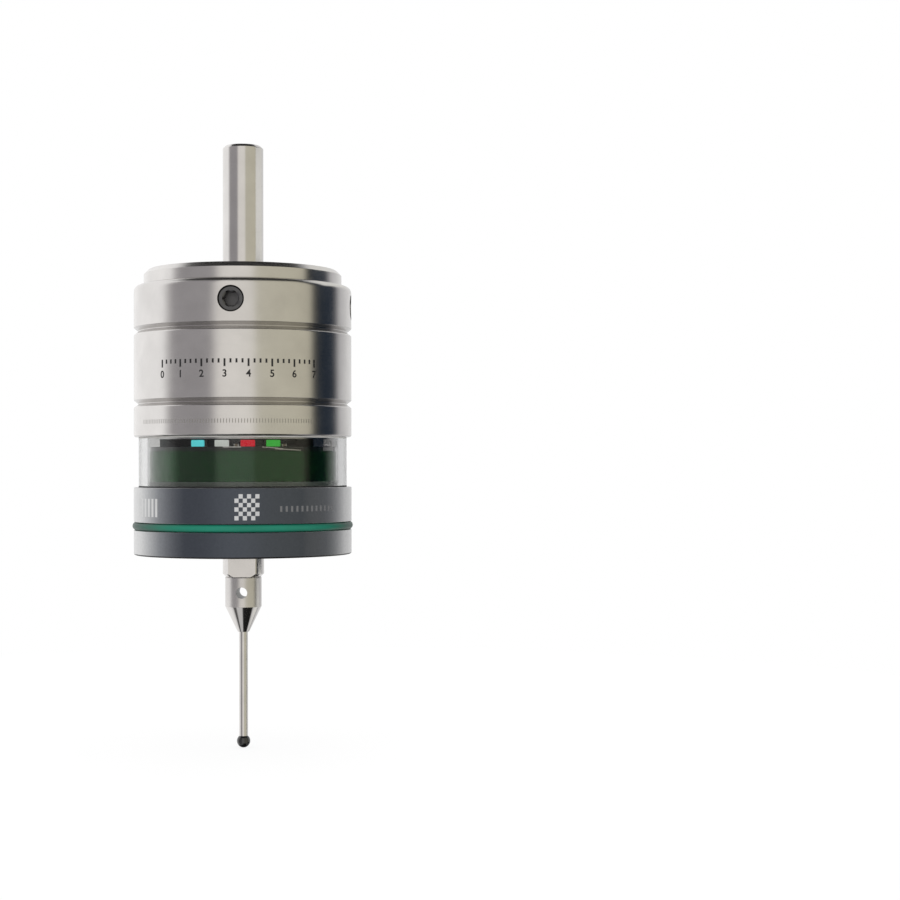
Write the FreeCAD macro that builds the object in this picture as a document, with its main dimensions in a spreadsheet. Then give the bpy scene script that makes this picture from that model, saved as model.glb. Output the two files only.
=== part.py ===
import FreeCAD, Part

import math
import os

import Sketcher

# Wireless touch probe for a milling spindle: a shank, a steel body, a clear window over a
# board with four lamps, a dark base ring and a stylus on a sprung three-ball seat.
# Millimetres. Z points up the shank, and z = 0 is the upper face of the top plate.

doc = FreeCAD.newDocument("touch_probe")
sheet = doc.addObject("Spreadsheet::Sheet", "Sizes")

Vector = FreeCAD.Vector
UP = Vector(0, 0, 1)

# Driving dimensions: alias and value.
DRIVING = {
    # General fits
    "press_fit": 0.02,
    "thread_fit": 0.05,
    # Shank
    "shank_diameter": 6.0,
    "shank_length": 18.55,
    "shank_chamfer": 0.4,
    "tail_diameter": 5.0,
    # Top plate with its centring spigot
    "plate_step": 1.45,
    "plate_thickness": 2.35,
    "plate_chamfer": 0.7,
    "spigot_margin": 2.2,
    "spigot_depth": 5.65,
    # Steel body
    "case_diameter": 32.0,
    "body_length": 22.25,
    "body_round": 0.9,
    "body_chamfer": 0.4,
    "body_wall": 2.7,
    "headroom": 3.6,
    "centring_play": 0.4,
    "groove_width": 1.1,
    "groove_depth": 0.7,
    "upper_groove_drop": 6.75,
    "lower_groove_rise": 4.85,
    # Centring screws, radial, and flange screws, axial
    "set_screw_diameter": 3.7,
    "set_screw_drop": 3.05,
    "set_screw_recess": 0.28,
    "set_screw_key": 2.0,
    "set_screw_key_depth": 2.2,
    "flange_screw_diameter": 2.0,
    "flange_screw_head": 3.8,
    "flange_screw_head_height": 1.1,
    "flange_screw_length": 7.0,
    "flange_screw_margin": 0.05,
    "flange_screw_key": 1.3,
    "flange_screw_key_depth": 0.8,
    # Light ring between body and board
    "skirt_gap": 0.15,
    "skirt_height": 1.5,
    "collar_length": 4.0,
    "collar_wall": 1.05,
    "light_ring_floor": 2.4,
    "light_ring_lap": 2.4,
    "lamp_recess_height": 1.1,
    "lamp_recess_gap": 0.3,
    "lamp_recess_angle": 99.5,
    "spanner_slot_width": 1.95,
    "spanner_slot_height": 0.8,
    "spanner_slot_depth": 1.0,
    # Battery and its tray
    "cell_thickness": 3.2,
    "cell_crimp": 0.4,
    "cell_play": 0.1,
    "tray_floor": 1.0,
    "tray_wall": 2.0,
    "tray_slot_width": 6.0,
    "clip_width": 4.0,
    "clip_thickness": 0.3,
    # Board and what is on it
    "board_gap": 0.45,
    "board_thickness": 0.6,
    "lamp_width": 2.0,
    "lamp_depth": 1.2,
    "lamp_height": 0.95,
    "lamp_rim": 0.13,
    "lamp_dish_depth": 0.3,
    "lamp_setback": 1.5,
    "lamp_pitch_angle": 16.9,
    "chip_gap": 0.25,
    "chip_width": 0.7,
    "chip_depth": 0.5,
    "chip_height": 0.4,
    "radio_gap": 0.943,
    "radio_height": 1.6,
    # Window
    "window_step": 0.7,
    "window_wall": 1.25,
    "window_gap": 7.35,
    "gasket_thickness": 0.2,
    # Sensor housing under the board
    "housing_wall": 1.95,
    "housing_top": 1.8,
    "drum_gap": 0.35,
    "housing_flange_gap": 0.15,
    "housing_flange_thickness": 0.85,
    "neck_length": 3.25,
    "stack_boss_diameter": 4.0,
    "stack_boss_overlap": 0.05,
    "stack_boss_length": 2.5,
    "stack_screw_diameter": 2.0,
    "stack_screw_head": 3.8,
    "stack_screw_head_height": 2.0,
    "stack_screw_reach": 1.8,
    "stack_screw_key": 1.5,
    "contact_pin_diameter": 1.0,
    "contact_pin_gap": 0.25,
    # Base ring, ring seal and cap
    "base_ring_height": 5.05,
    "base_wall": 3.05,
    "base_edge": 0.2,
    "seal_slot": 1.2,
    "seal_section": 1.18,
    "seal_depth": 1.0,
    "cap_height": 3.65,
    "cap_edge": 0.3,
    "cap_floor_thickness": 1.5,
    "cap_neck_gap": 0.3,
    "cap_neck_wall": 1.4,
    "exit_clearance": 1.55,
    "exit_hole_flare": 0.8,
    # Seat ring with three pairs of rollers
    "seat_thickness": 2.45,
    "seat_lip": 0.5,
    "seat_play": 0.1,
    "roller_diameter": 2.0,
    "roller_length": 3.2,
    "roller_half_spacing": 1.6,
    "roller_sink": 0.2,
    # Carrier with three balls
    "arm_side_gap": 0.55,
    "ball_diameter": 3.0,
    "seat_clearance": 0.05,
    "socket_clearance": 0.03,
    "socket_overlap": 0.19,
    "arm_width": 3.8,
    "arm_thickness": 2.2,
    "hub_diameter": 7.2,
    "hub_head_diameter": 8.8,
    "spring_pilot": 5.8,
    "spring_pilot_height": 0.6,
    # Spring
    "spring_diameter": 7.0,
    "spring_wire": 0.5,
    # Dust seal
    "dust_seal_play": 0.9,
    "dust_seal_thickness": 0.5,
    "dust_seal_gap": 0.4,
    # Stylus holder
    "holder_diameter": 6.1,
    "holder_drop": 3.35,
    "holder_chamfer": 0.45,
    "holder_flats": 4.6,
    "holder_flat_length": 3.5,
    "holder_stud": 4.0,
    "holder_stud_length": 4.5,
    # Stylus
    "stylus_body_diameter": 5.35,
    "stylus_body_length": 4.4,
    "stylus_cone_length": 3.75,
    "stylus_cone_tip": 1.7,
    "stylus_thread": 3.0,
    "stylus_thread_length": 3.8,
    "stylus_thread_depth": 4.6,
    "tommy_hole": 1.65,
    "tommy_hole_drop": 2.3,
    "stem_diameter": 1.3,
    "stem_seat_depth": 2.0,
    "tip_diameter": 2.0,
    "tip_seat_depth": 0.6,
    "tip_spigot_diameter": 0.7,
    "tip_reach": 24.3,
}

# Directions in degrees from +X; FRONT is the middle of the lamps
LED_NAMES = ("led_cyan", "led_white", "led_red", "led_green")
BALL_ANGLES = (90, 210, 330)
BETWEEN_ANGLES = (30, 150, 270)
CONTACT_PIN_ANGLES = (48, 132)
FLANGE_SCREW_ANGLES = (45, 135, 225, 315)
SET_SCREW_ANGLES = (0, 90, 180, 270)
FRONT = 270.8
SPANNER_SLOT_ANGLES = (FRONT + 63, FRONT + 243)

# Lamp and side of each chip, turns of the spring, and how far a cutting tool runs past a face
CHIP_PLACES = ((2, -1), (3, 1))
SPRING_HALF_TURNS = 8
OVERCUT = 1


class Size:
    """A length as a number together with the sheet formula that it comes from."""

    def __init__(self, value, text):
        self.value = value
        self.text = text

    def __add__(self, other):
        other = as_size(other)
        return Size(self.value + other.value, f"({self.text} + {other.text})")

    def __sub__(self, other):
        other = as_size(other)
        return Size(self.value - other.value, f"({self.text} - {other.text})")

    def __mul__(self, other):
        other = as_size(other)
        return Size(self.value * other.value, f"({self.text} * {other.text})")

    def __truediv__(self, other):
        other = as_size(other)
        return Size(self.value / other.value, f"({self.text} / {other.text})")

    def __neg__(self):
        return Size(-self.value, f"(0 - {self.text})")


def as_size(value):
    """A plain number as a Size, and a Size as it is."""
    if isinstance(value, Size):
        return value
    return Size(float(value), f"{value:.6g}" if value >= 0 else f"(0 - {-value:.6g})")


def root(size):
    """Square root of a size."""
    return Size(math.sqrt(size.value), f"sqrt({size.text})")


def fill_sheet():
    """Write every driving dimension to its cell and return them by name."""
    sizes = {}
    for row, (alias, value) in enumerate(DRIVING.items(), start=1):
        sheet.set(f"A{row}", alias)
        sheet.set(f"B{row}", str(value))
        sheet.setAlias(f"B{row}", alias)
        sizes[alias] = Size(value, f"Sizes.{alias}")
    doc.recompute()
    return sizes


D = fill_sheet()

# Radii and levels that several pieces share
case_radius = D["case_diameter"] / 2
plate_radius = case_radius - D["plate_step"]
flange_screw_place = (plate_radius - D["plate_chamfer"] - D["flange_screw_margin"]
                      - D["flange_screw_head"] / 2)
spigot_radius = flange_screw_place - D["spigot_margin"]
cavity_radius = case_radius - D["body_wall"]
window_radius = case_radius - D["window_step"]
window_bore = window_radius - D["window_wall"]
skirt_radius = window_bore - D["skirt_gap"]
lamp_face = skirt_radius - D["lamp_setback"]
board_radius = window_bore - D["board_gap"]
joint_radius = case_radius - D["base_wall"]
housing_radius = joint_radius - D["thread_fit"]
housing_bore = housing_radius - D["housing_wall"]
drum_radius = window_bore - D["drum_gap"]
housing_flange = window_bore - D["housing_flange_gap"]
stack_screw_place = housing_bore - D["stack_boss_diameter"] / 2 + D["stack_boss_overlap"]
contact_pin_place = housing_bore - D["contact_pin_diameter"] / 2 - D["contact_pin_gap"]
light_ring_bore = stack_screw_place - D["light_ring_lap"]
ball_place = housing_bore - D["arm_side_gap"] - D["arm_width"] / 2
seat_bore = ball_place - D["roller_length"] / 2 - D["seat_lip"]
seal_seat = case_radius - D["seal_depth"]
cap_bore = housing_radius - D["cap_neck_wall"]
exit_hole = D["holder_diameter"] / 2 + D["exit_clearance"]
body_top = -D["plate_thickness"]
body_bottom = body_top - D["body_length"]
base_top = body_bottom - D["window_gap"]
board_top = body_bottom - D["skirt_height"]
board_bottom = board_top - D["board_thickness"]
housing_bottom = base_top - D["neck_length"]
base_bottom = base_top - D["base_ring_height"]
cap_top = base_bottom - D["seal_slot"]
cap_bottom = cap_top - D["cap_height"]
cap_floor = cap_bottom + D["cap_floor_thickness"]
seat_top = cap_floor + D["seat_thickness"]
roller_level = seat_top - D["roller_sink"]
contact_reach = (D["ball_diameter"] + D["roller_diameter"]) / 2 + D["seat_clearance"]
ball_rise = root(contact_reach * contact_reach - D["roller_half_spacing"] * D["roller_half_spacing"])
ball_level = roller_level + ball_rise
arm_bottom = ball_level - D["socket_overlap"]
carrier_top = arm_bottom + D["arm_thickness"]
seal_bottom = cap_floor + D["dust_seal_gap"]
hub_bottom = seal_bottom + D["dust_seal_thickness"]
holder_bottom = cap_bottom - D["holder_drop"]
cone_top = holder_bottom - D["stylus_body_length"]
cone_bottom = cone_top - D["stylus_cone_length"]
tip_level = holder_bottom - D["tip_reach"]
spigot_bottom = body_top - D["spigot_depth"]
set_screw_level = body_top - D["set_screw_drop"]
housing_ceiling = board_bottom - D["housing_top"]
boss_bottom = housing_ceiling - D["stack_boss_length"]
ring_plate_top = board_top + D["light_ring_floor"]
tray_radius = cavity_radius - D["thread_fit"] - D["collar_wall"] - D["cell_play"]
cell_pocket = tray_radius - D["tray_wall"]
cell_base = ring_plate_top + D["tray_floor"]
cell_top = cell_base + D["cell_thickness"] * 2
cavity_top = cell_top + D["clip_thickness"] + D["headroom"]

parts = {}


def keep(name, piece):
    """Give a finished piece its name and put it on the list of pieces."""
    piece.Label = name
    parts[name] = piece
    return piece


def bind(piece, prop, size):
    """Bind one property of an object to the sheet."""
    piece.setExpression(prop, as_size(size).text)


def place(piece, x, y, z, rotation=None):
    """Put an object at a place bound to the sheet, turned by a fixed rotation."""
    if rotation is not None:
        piece.Placement = FreeCAD.Placement(Vector(0, 0, 0), rotation)
    bind(piece, "Placement.Base.x", x)
    bind(piece, "Placement.Base.y", y)
    bind(piece, "Placement.Base.z", z)
    return piece


def on_circle(radius, angle, side=0):
    """Point at a radius and angle in degrees, moved sideways, counter-clockwise, by side."""
    radius = as_size(radius)
    side = as_size(side)
    cosine = Size(math.cos(math.radians(angle)), f"cos({angle})" if angle >= 0 else f"cos({-angle})")
    sine = math.sin(math.radians(angle))
    sine = Size(sine, f"sin({angle})" if angle >= 0 else f"(0 - sin({-angle}))")
    return radius * cosine - side * sine, radius * sine + side * cosine


def sketch_on(body, name, plane, corners, rounds):
    """Closed outline through corners; rounds gives (centre, radius) for an edge that is an arc."""
    sketch = body.newObject("Sketcher::SketchObject", name)
    planes = [item for item in body.Origin.OriginFeatures if item.Role == plane]
    sketch.AttachmentSupport = [(planes[0], "")]
    sketch.MapMode = "FlatFace"
    corners = [(as_size(across), as_size(along)) for across, along in corners]
    points = [Vector(across.value, along.value, 0) for across, along in corners]
    count = len(points)
    starts = []
    for index, start in enumerate(points):
        end = points[(index + 1) % count]
        if index in rounds:
            centre = Vector(*[as_size(value).value for value in rounds[index][0]], 0)
            radius = as_size(rounds[index][1])
            first = math.atan2(start.y - centre.y, start.x - centre.x)
            last = math.atan2(end.y - centre.y, end.x - centre.x)
            forward = (last - first) % (2 * math.pi) <= math.pi
            circle = Part.Circle(centre, UP, radius.value)
            arc_ends = (first, last) if forward else (last, first)
            sketch.addGeometry(Part.ArcOfCircle(circle, *arc_ends))
            starts.append((1, 2) if forward else (2, 1))
        else:
            sketch.addGeometry(Part.LineSegment(start, end))
            starts.append((1, 2))
    for index in range(count):
        following = (index + 1) % count
        joint = ("Coincident", index, starts[index][1], following, starts[following][0])
        sketch.addConstraint(Sketcher.Constraint(*joint))
    for index, (across, along) in enumerate(corners):
        for kind, size in (("DistanceX", across), ("DistanceY", along)):
            data = (kind, -1, 1, index, starts[index][0], size.value)
            number = sketch.addConstraint(Sketcher.Constraint(*data))
            sketch.setExpression(f"Constraints[{number}]", size.text)
    for index, (centre, radius) in rounds.items():
        chord = points[(index + 1) % count] - points[index]
        upright = abs(chord.y) >= abs(chord.x)
        kind, size = ("DistanceX", centre[0]) if upright else ("DistanceY", centre[1])
        size = as_size(size)
        number = sketch.addConstraint(Sketcher.Constraint(kind, -1, 1, index, 3, size.value))
        sketch.setExpression(f"Constraints[{number}]", size.text)
    return sketch


def turned(name, corners, rounds=None):
    """Body of revolution about Z from an outline of (radius, height) corners."""
    body = doc.addObject("PartDesign::Body", name)
    sketch = sketch_on(body, name + "_outline", "XZ_Plane", corners, rounds or {})
    revolution = body.newObject("PartDesign::Revolution", name + "_turned")
    revolution.Profile = sketch
    revolution.ReferenceAxis = (sketch, ["V_Axis"])
    revolution.Angle = 360
    body.Tip = revolution
    return body


def padded(name, corners, rounds, base, height):
    """Body padded up from a height by an outline of (x, y) corners."""
    body = doc.addObject("PartDesign::Body", name)
    sketch = sketch_on(body, name + "_outline", "XY_Plane", corners, rounds)
    bind(sketch, "AttachmentOffset.Base.z", base)
    pad = body.newObject("PartDesign::Pad", name + "_pad")
    pad.Profile = sketch
    bind(pad, "Length", height)
    body.Tip = pad
    return body


def cylinder(name, radius, height, x, y, z, direction=UP):
    """Round bar from a point along a direction."""
    piece = doc.addObject("Part::Cylinder", name)
    bind(piece, "Radius", radius)
    bind(piece, "Height", height)
    return place(piece, x, y, z, FreeCAD.Rotation(UP, direction))


def cone(name, lower_radius, upper_radius, height, x, y, z):
    """Upright cone frustum."""
    piece = doc.addObject("Part::Cone", name)
    bind(piece, "Radius1", lower_radius)
    bind(piece, "Radius2", upper_radius)
    bind(piece, "Height", height)
    return place(piece, x, y, z, FreeCAD.Rotation())


def hexagon(name, across_flats, height, x, y, z, direction=UP):
    """Hexagonal bar, for key sockets."""
    piece = doc.addObject("Part::Prism", name)
    piece.Polygon = 6
    bind(piece, "Circumradius", across_flats / math.sqrt(3))
    bind(piece, "Height", height)
    return place(piece, x, y, z, FreeCAD.Rotation(UP, direction))


def ball(name, radius, x, y, z):
    """Sphere."""
    piece = doc.addObject("Part::Sphere", name)
    bind(piece, "Radius", radius)
    return place(piece, x, y, z, FreeCAD.Rotation())


def radial_box(name, angle, inner, depth, width, base, height, side=0):
    """Block whose inner face is square to the radius at an angle, centred on it."""
    piece = doc.addObject("Part::Box", name)
    bind(piece, "Length", depth)
    bind(piece, "Width", width)
    bind(piece, "Height", height)
    x, y = on_circle(inner, angle, as_size(side) - as_size(width) / 2)
    return place(piece, x, y, base, FreeCAD.Rotation(UP, angle))


def fused(name, pieces):
    """One solid of several that overlap or touch."""
    piece = doc.addObject("Part::MultiFuse", name)
    piece.Shapes = pieces
    return piece


def grouped(name, pieces):
    """Separate solids under one name."""
    piece = doc.addObject("Part::Compound", name)
    piece.Links = pieces
    return piece


def cut(name, base, tools):
    """A base with tools taken away."""
    piece = doc.addObject("Part::Cut", name)
    piece.Base = base
    piece.Tool = tools[0] if len(tools) == 1 else fused(name + "_tools", tools)
    return piece


def direction_at(angle):
    """Unit vector outwards at an angle."""
    return Vector(math.cos(math.radians(angle)), math.sin(math.radians(angle)), 0)


# Shank: a ground pin with a thinner tail pressed into the top plate
def make_shank():
    radius = D["shank_diameter"] / 2
    tail = D["tail_diameter"] / 2
    top = D["shank_length"]
    corners = [
        (0, spigot_bottom),
        (tail, spigot_bottom),
        (tail, 0),
        (radius, 0),
        (radius, top - D["shank_chamfer"]),
        (radius - D["shank_chamfer"], top),
        (0, top),
    ]
    keep("shank", turned("shank_bar", corners))


# Top plate: a flange with a spigot that the four radial screws centre
def make_top_plate():
    bore = D["tail_diameter"] / 2 + D["press_fit"]
    corners = [
        (bore, spigot_bottom),
        (spigot_radius, spigot_bottom),
        (spigot_radius, body_top),
        (plate_radius, body_top),
        (plate_radius, -D["plate_chamfer"]),
        (plate_radius - D["plate_chamfer"], 0),
        (bore, 0),
    ]
    blank = turned("top_plate_blank", corners)
    holes = []
    hole = D["flange_screw_diameter"] / 2 + D["centring_play"] / 2
    head = D["flange_screw_head"] / 2 + D["press_fit"]
    head_height = D["flange_screw_head_height"]
    for number, angle in enumerate(FLANGE_SCREW_ANGLES, start=1):
        x, y = on_circle(flange_screw_place, angle)
        holes.append(cylinder(f"plate_hole_{number}", hole, D["plate_thickness"], x, y, body_top))
        holes.append(cone(f"plate_sink_{number}", hole, head, head_height, x, y, -head_height))
    keep("top_plate", cut("top_plate_drilled", blank, holes))


def make_flange_screws():
    screws = []
    shaft = D["flange_screw_diameter"] / 2
    head = D["flange_screw_head"] / 2
    head_height = D["flange_screw_head_height"]
    length = D["flange_screw_length"]
    for number, angle in enumerate(FLANGE_SCREW_ANGLES, start=1):
        x, y = on_circle(flange_screw_place, angle)
        bar = cylinder(f"flange_screw_bar_{number}", shaft, length, x, y, -length)
        sunk = cone(f"flange_screw_cone_{number}", shaft, head, head_height, x, y, -head_height)
        solid = fused(f"flange_screw_blank_{number}", [bar, sunk])
        key_base = -D["flange_screw_key_depth"]
        key = hexagon(f"flange_screw_key_{number}", D["flange_screw_key"], head_height, x, y, key_base)
        screws.append(cut(f"flange_screw_{number}", solid, [key]))
    keep("flange_screws", grouped("flange_screw_group", screws))


# Steel body: a cup, open downwards, with two V grooves round it
def groove_corners(level):
    """The three corners of a V groove, from above to below."""
    half = D["groove_width"] / 2
    return [
        (case_radius, level + half),
        (case_radius - D["groove_depth"], level),
        (case_radius, level - half),
    ]


def make_steel_body():
    bore = spigot_radius + D["centring_play"]
    edge = D["body_round"]
    corners = [
        (bore, body_top),
        (case_radius - edge, body_top),
        (case_radius, body_top - edge),
        *groove_corners(body_top - D["upper_groove_drop"]),
        *groove_corners(body_bottom + D["lower_groove_rise"]),
        (case_radius, body_bottom + D["body_chamfer"]),
        (case_radius - D["body_chamfer"], body_bottom),
        (cavity_radius, body_bottom),
        (cavity_radius, cavity_top),
        (bore, cavity_top),
    ]
    rounds = {1: ((case_radius - edge, body_top - edge), edge)}
    blank = turned("steel_body_blank", corners, rounds)
    holes = []
    hole = D["set_screw_diameter"] / 2 + D["press_fit"]
    for number, angle in enumerate(SET_SCREW_ANGLES, start=1):
        holes.append(cylinder(f"set_screw_hole_{number}", hole, case_radius + OVERCUT,
                              0, 0, set_screw_level, direction_at(angle)))
    thread = D["flange_screw_diameter"] / 2 + D["press_fit"]
    depth = D["flange_screw_length"] + D["press_fit"]
    for number, angle in enumerate(FLANGE_SCREW_ANGLES, start=1):
        x, y = on_circle(flange_screw_place, angle)
        holes.append(cylinder(f"flange_thread_{number}", thread, depth, x, y, -depth))
    keep("steel_body", cut("steel_body_drilled", blank, holes))


# Four hexagon-socket grub screws that push the spigot to centre
def make_set_screws():
    screws = []
    radius = D["set_screw_diameter"] / 2
    inner = spigot_radius + D["press_fit"]
    outer = case_radius - D["set_screw_recess"]
    for number, angle in enumerate(SET_SCREW_ANGLES, start=1):
        way = direction_at(angle)
        x, y = on_circle(inner, angle)
        bar = cylinder(f"set_screw_bar_{number}", radius, outer - inner, x, y, set_screw_level, way)
        x, y = on_circle(outer - D["set_screw_key_depth"], angle)
        key = hexagon(f"set_screw_key_{number}", D["set_screw_key"], D["set_screw_key_depth"] + OVERCUT,
                      x, y, set_screw_level, way)
        screws.append(cut(f"set_screw_{number}", bar, [key]))
    keep("set_screws", grouped("set_screw_group", screws))


# Light ring: screwed into the body by its two spanner slots, with a wide recess for the lamps
def make_light_ring():
    collar = cavity_radius - D["thread_fit"]
    inner = collar - D["collar_wall"]
    corners = [
        (light_ring_bore, board_top),
        (skirt_radius, board_top),
        (skirt_radius, body_bottom),
        (collar, body_bottom),
        (collar, body_bottom + D["collar_length"]),
        (inner, body_bottom + D["collar_length"]),
        (inner, ring_plate_top),
        (light_ring_bore, ring_plate_top),
    ]
    blank = turned("light_ring_blank", corners)
    half = D["lamp_recess_angle"].value / 2
    sector = cylinder("lamp_recess_outer", skirt_radius + OVERCUT, D["lamp_recess_height"], 0, 0, board_top)
    sector.Placement = FreeCAD.Placement(Vector(0, 0, 0), FreeCAD.Rotation(UP, FRONT - half))
    bind(sector, "Angle", D["lamp_recess_angle"])
    bind(sector, "Placement.Base.z", board_top)
    back = lamp_face - D["lamp_depth"] - D["lamp_recess_gap"]
    core = cylinder("lamp_recess_inner", back, D["lamp_recess_height"], 0, 0, board_top)
    recess = cut("lamp_recess", sector, [core])
    thread = D["stack_screw_diameter"] / 2 + D["press_fit"]
    holes = [recess]
    for number, angle in enumerate(BETWEEN_ANGLES, start=1):
        x, y = on_circle(stack_screw_place, angle)
        holes.append(cylinder(f"light_ring_thread_{number}", thread, D["light_ring_floor"],
                              x, y, board_top))
    depth = D["spanner_slot_depth"]
    for number, angle in enumerate(SPANNER_SLOT_ANGLES, start=1):
        holes.append(radial_box(f"spanner_slot_{number}", angle, skirt_radius - depth, depth + OVERCUT,
                                D["spanner_slot_width"], board_top, D["spanner_slot_height"]))
    keep("light_ring", cut("light_ring_drilled", blank, holes))


# Battery: two button cells in a moulded tray under a sprung strip
def make_battery():
    cell = cell_pocket - D["cell_play"]
    corners = [
        (0, ring_plate_top),
        (tray_radius, ring_plate_top),
        (tray_radius, cell_top),
        (cell_pocket, cell_top),
        (cell_pocket, cell_base),
        (0, cell_base),
    ]
    blank = turned("battery_tray_blank", corners)
    slot = radial_box("tray_slot", 90, 0, tray_radius * 2, D["tray_slot_width"],
                      cell_base + D["cell_thickness"] / 2, D["cell_thickness"] * 2)
    keep("battery_tray", cut("battery_tray_slotted", blank, [slot]))
    crimp = D["cell_crimp"]
    for name, base in (("battery_lower", cell_base), ("battery_upper", cell_base + D["cell_thickness"])):
        top = base + D["cell_thickness"]
        corners = [
            (0, base),
            (cell - crimp * 2, base),
            (cell - crimp * 2, base + crimp),
            (cell, base + crimp),
            (cell, top - crimp),
            (cell - crimp, top),
            (0, top),
        ]
        keep(name, turned(name + "_can", corners))
    half = D["clip_width"] / 2
    reach = (tray_radius + cell_pocket) / 2 - half
    corners = [(-reach, -half), (reach, -half), (reach, half), (-reach, half)]
    rounds = {1: ((reach, 0), half), 3: ((-reach, 0), half)}
    keep("battery_clip", padded("battery_clip_strip", corners, rounds, cell_top, D["clip_thickness"]))


# Round board with its screw holes
def make_board():
    plain = cylinder("board_blank", board_radius, D["board_thickness"], 0, 0, board_bottom)
    hole = D["stack_screw_diameter"] / 2 + D["thread_fit"]
    holes = []
    for number, angle in enumerate(BETWEEN_ANGLES, start=1):
        x, y = on_circle(stack_screw_place, angle)
        holes.append(cylinder(f"board_hole_{number}", hole, D["board_thickness"], x, y, board_bottom))
    keep("main_board", cut("board_drilled", plain, holes))


# Four lamps at the front edge of the board, each with a dished face, and small chips beside them
def lamp_angle(index):
    """Angle of a lamp, counted from the left."""
    return FRONT + (index - (len(LED_NAMES) - 1) / 2) * D["lamp_pitch_angle"].value


def make_lamps():
    for index, name in enumerate(LED_NAMES):
        angle = lamp_angle(index)
        block = radial_box(name + "_block", angle, lamp_face - D["lamp_depth"], D["lamp_depth"],
                           D["lamp_width"], board_top, D["lamp_height"])
        middle = D["lamp_height"] / 2
        x, y = on_circle(lamp_face - D["lamp_dish_depth"], angle)
        dish = cylinder(name + "_dish", middle - D["lamp_rim"], D["lamp_dish_depth"] + OVERCUT,
                        x, y, board_top + middle, direction_at(angle))
        keep(name, cut(name + "_dished", block, [dish]))


def make_chips():
    chips = []
    reach = D["lamp_width"] / 2 + D["chip_gap"] + D["chip_width"] / 2
    inner = lamp_face - D["chip_depth"]
    for number, (lamp, side) in enumerate(CHIP_PLACES, start=1):
        chips.append(radial_box(f"chip_{number}", lamp_angle(lamp), inner, D["chip_depth"],
                                D["chip_width"], board_top, D["chip_height"], reach * side))
    keep("board_chips", grouped("board_chip_group", chips))
    side = (light_ring_bore - D["radio_gap"]) * math.sqrt(2)
    can = radial_box("radio_can", 0, -side / 2, side, side, board_top, D["radio_height"])
    keep("radio_module", can)


# Clear window between two thin gaskets
def make_window():
    gasket = D["gasket_thickness"]
    levels = (
        ("lower_gasket", base_top, base_top + gasket),
        ("window", base_top + gasket, body_bottom - gasket),
        ("upper_gasket", body_bottom - gasket, body_bottom),
    )
    for name, low, high in levels:
        corners = [
            (window_bore, low),
            (window_radius, low),
            (window_radius, high),
            (window_bore, high),
        ]
        keep(name, turned(name + "_ring", corners))


# Sensor housing: a drum under the board, hollow from below, with a threaded neck for the base ring
def make_sensor_housing():
    corners = [
        (0, housing_ceiling),
        (housing_bore, housing_ceiling),
        (housing_bore, housing_bottom),
        (housing_radius, housing_bottom),
        (housing_radius, base_top),
        (housing_flange, base_top),
        (housing_flange, base_top + D["housing_flange_thickness"]),
        (drum_radius, base_top + D["housing_flange_thickness"]),
        (drum_radius, board_bottom),
        (0, board_bottom),
    ]
    cup = turned("sensor_housing_cup", corners)
    bosses = []
    holes = []
    hole = D["stack_screw_diameter"] / 2 + D["thread_fit"]
    for number, angle in enumerate(BETWEEN_ANGLES, start=1):
        x, y = on_circle(stack_screw_place, angle)
        bosses.append(cylinder(f"stack_boss_{number}", D["stack_boss_diameter"] / 2,
                               board_bottom - boss_bottom, x, y, boss_bottom))
        holes.append(cylinder(f"stack_hole_{number}", hole, board_bottom - boss_bottom,
                              x, y, boss_bottom))
    pin_hole = D["contact_pin_diameter"] / 2 + D["thread_fit"]
    for number, angle in enumerate(CONTACT_PIN_ANGLES, start=1):
        x, y = on_circle(contact_pin_place, angle)
        holes.append(cylinder(f"contact_pin_hole_{number}", pin_hole, D["housing_top"],
                              x, y, housing_ceiling))
    cup_with_bosses = fused("sensor_housing_bossed", [cup, *bosses])
    keep("sensor_housing", cut("sensor_housing_drilled", cup_with_bosses, holes))


# Three cap screws from the housing up through the board into the light ring
def make_stack_screws():
    screws = []
    shaft = D["stack_screw_diameter"] / 2
    head_height = D["stack_screw_head_height"]
    length = board_top + D["stack_screw_reach"] - boss_bottom
    for number, angle in enumerate(BETWEEN_ANGLES, start=1):
        x, y = on_circle(stack_screw_place, angle)
        bar = cylinder(f"stack_screw_bar_{number}", shaft, length, x, y, boss_bottom)
        head = cylinder(f"stack_screw_head_{number}", D["stack_screw_head"] / 2, head_height,
                        x, y, boss_bottom - head_height)
        solid = fused(f"stack_screw_blank_{number}", [bar, head])
        key = hexagon(f"stack_screw_key_{number}", D["stack_screw_key"], head_height / 2,
                      x, y, boss_bottom - head_height)
        screws.append(cut(f"stack_screw_{number}", solid, [key]))
    keep("stack_screws", grouped("stack_screw_group", screws))


# Two contact pins that carry the switch signal from the seat ring to the board
def make_contact_pins():
    pins = []
    for number, angle in enumerate(CONTACT_PIN_ANGLES, start=1):
        x, y = on_circle(contact_pin_place, angle)
        pins.append(cylinder(f"contact_pin_{number}", D["contact_pin_diameter"] / 2,
                             board_bottom - seat_top, x, y, seat_top))
    keep("contact_pins", grouped("contact_pin_group", pins))


# Base ring, the green ring seal in its slot and the cap with the stylus hole
def make_base_ring():
    edge = D["base_edge"]
    corners = [
        (joint_radius, base_bottom),
        (case_radius - edge, base_bottom),
        (case_radius, base_bottom + edge),
        (case_radius, base_top - edge),
        (case_radius - edge, base_top),
        (joint_radius, base_top),
    ]
    keep("base_ring", turned("base_ring_turned", corners))


def make_ring_seal():
    section = D["seal_section"] / 2
    seal = doc.addObject("Part::Torus", "ring_seal_torus")
    bind(seal, "Radius1", seal_seat + D["seal_slot"] / 2)
    bind(seal, "Radius2", section)
    keep("ring_seal", place(seal, 0, 0, (base_bottom + cap_top) / 2, FreeCAD.Rotation()))


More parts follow.
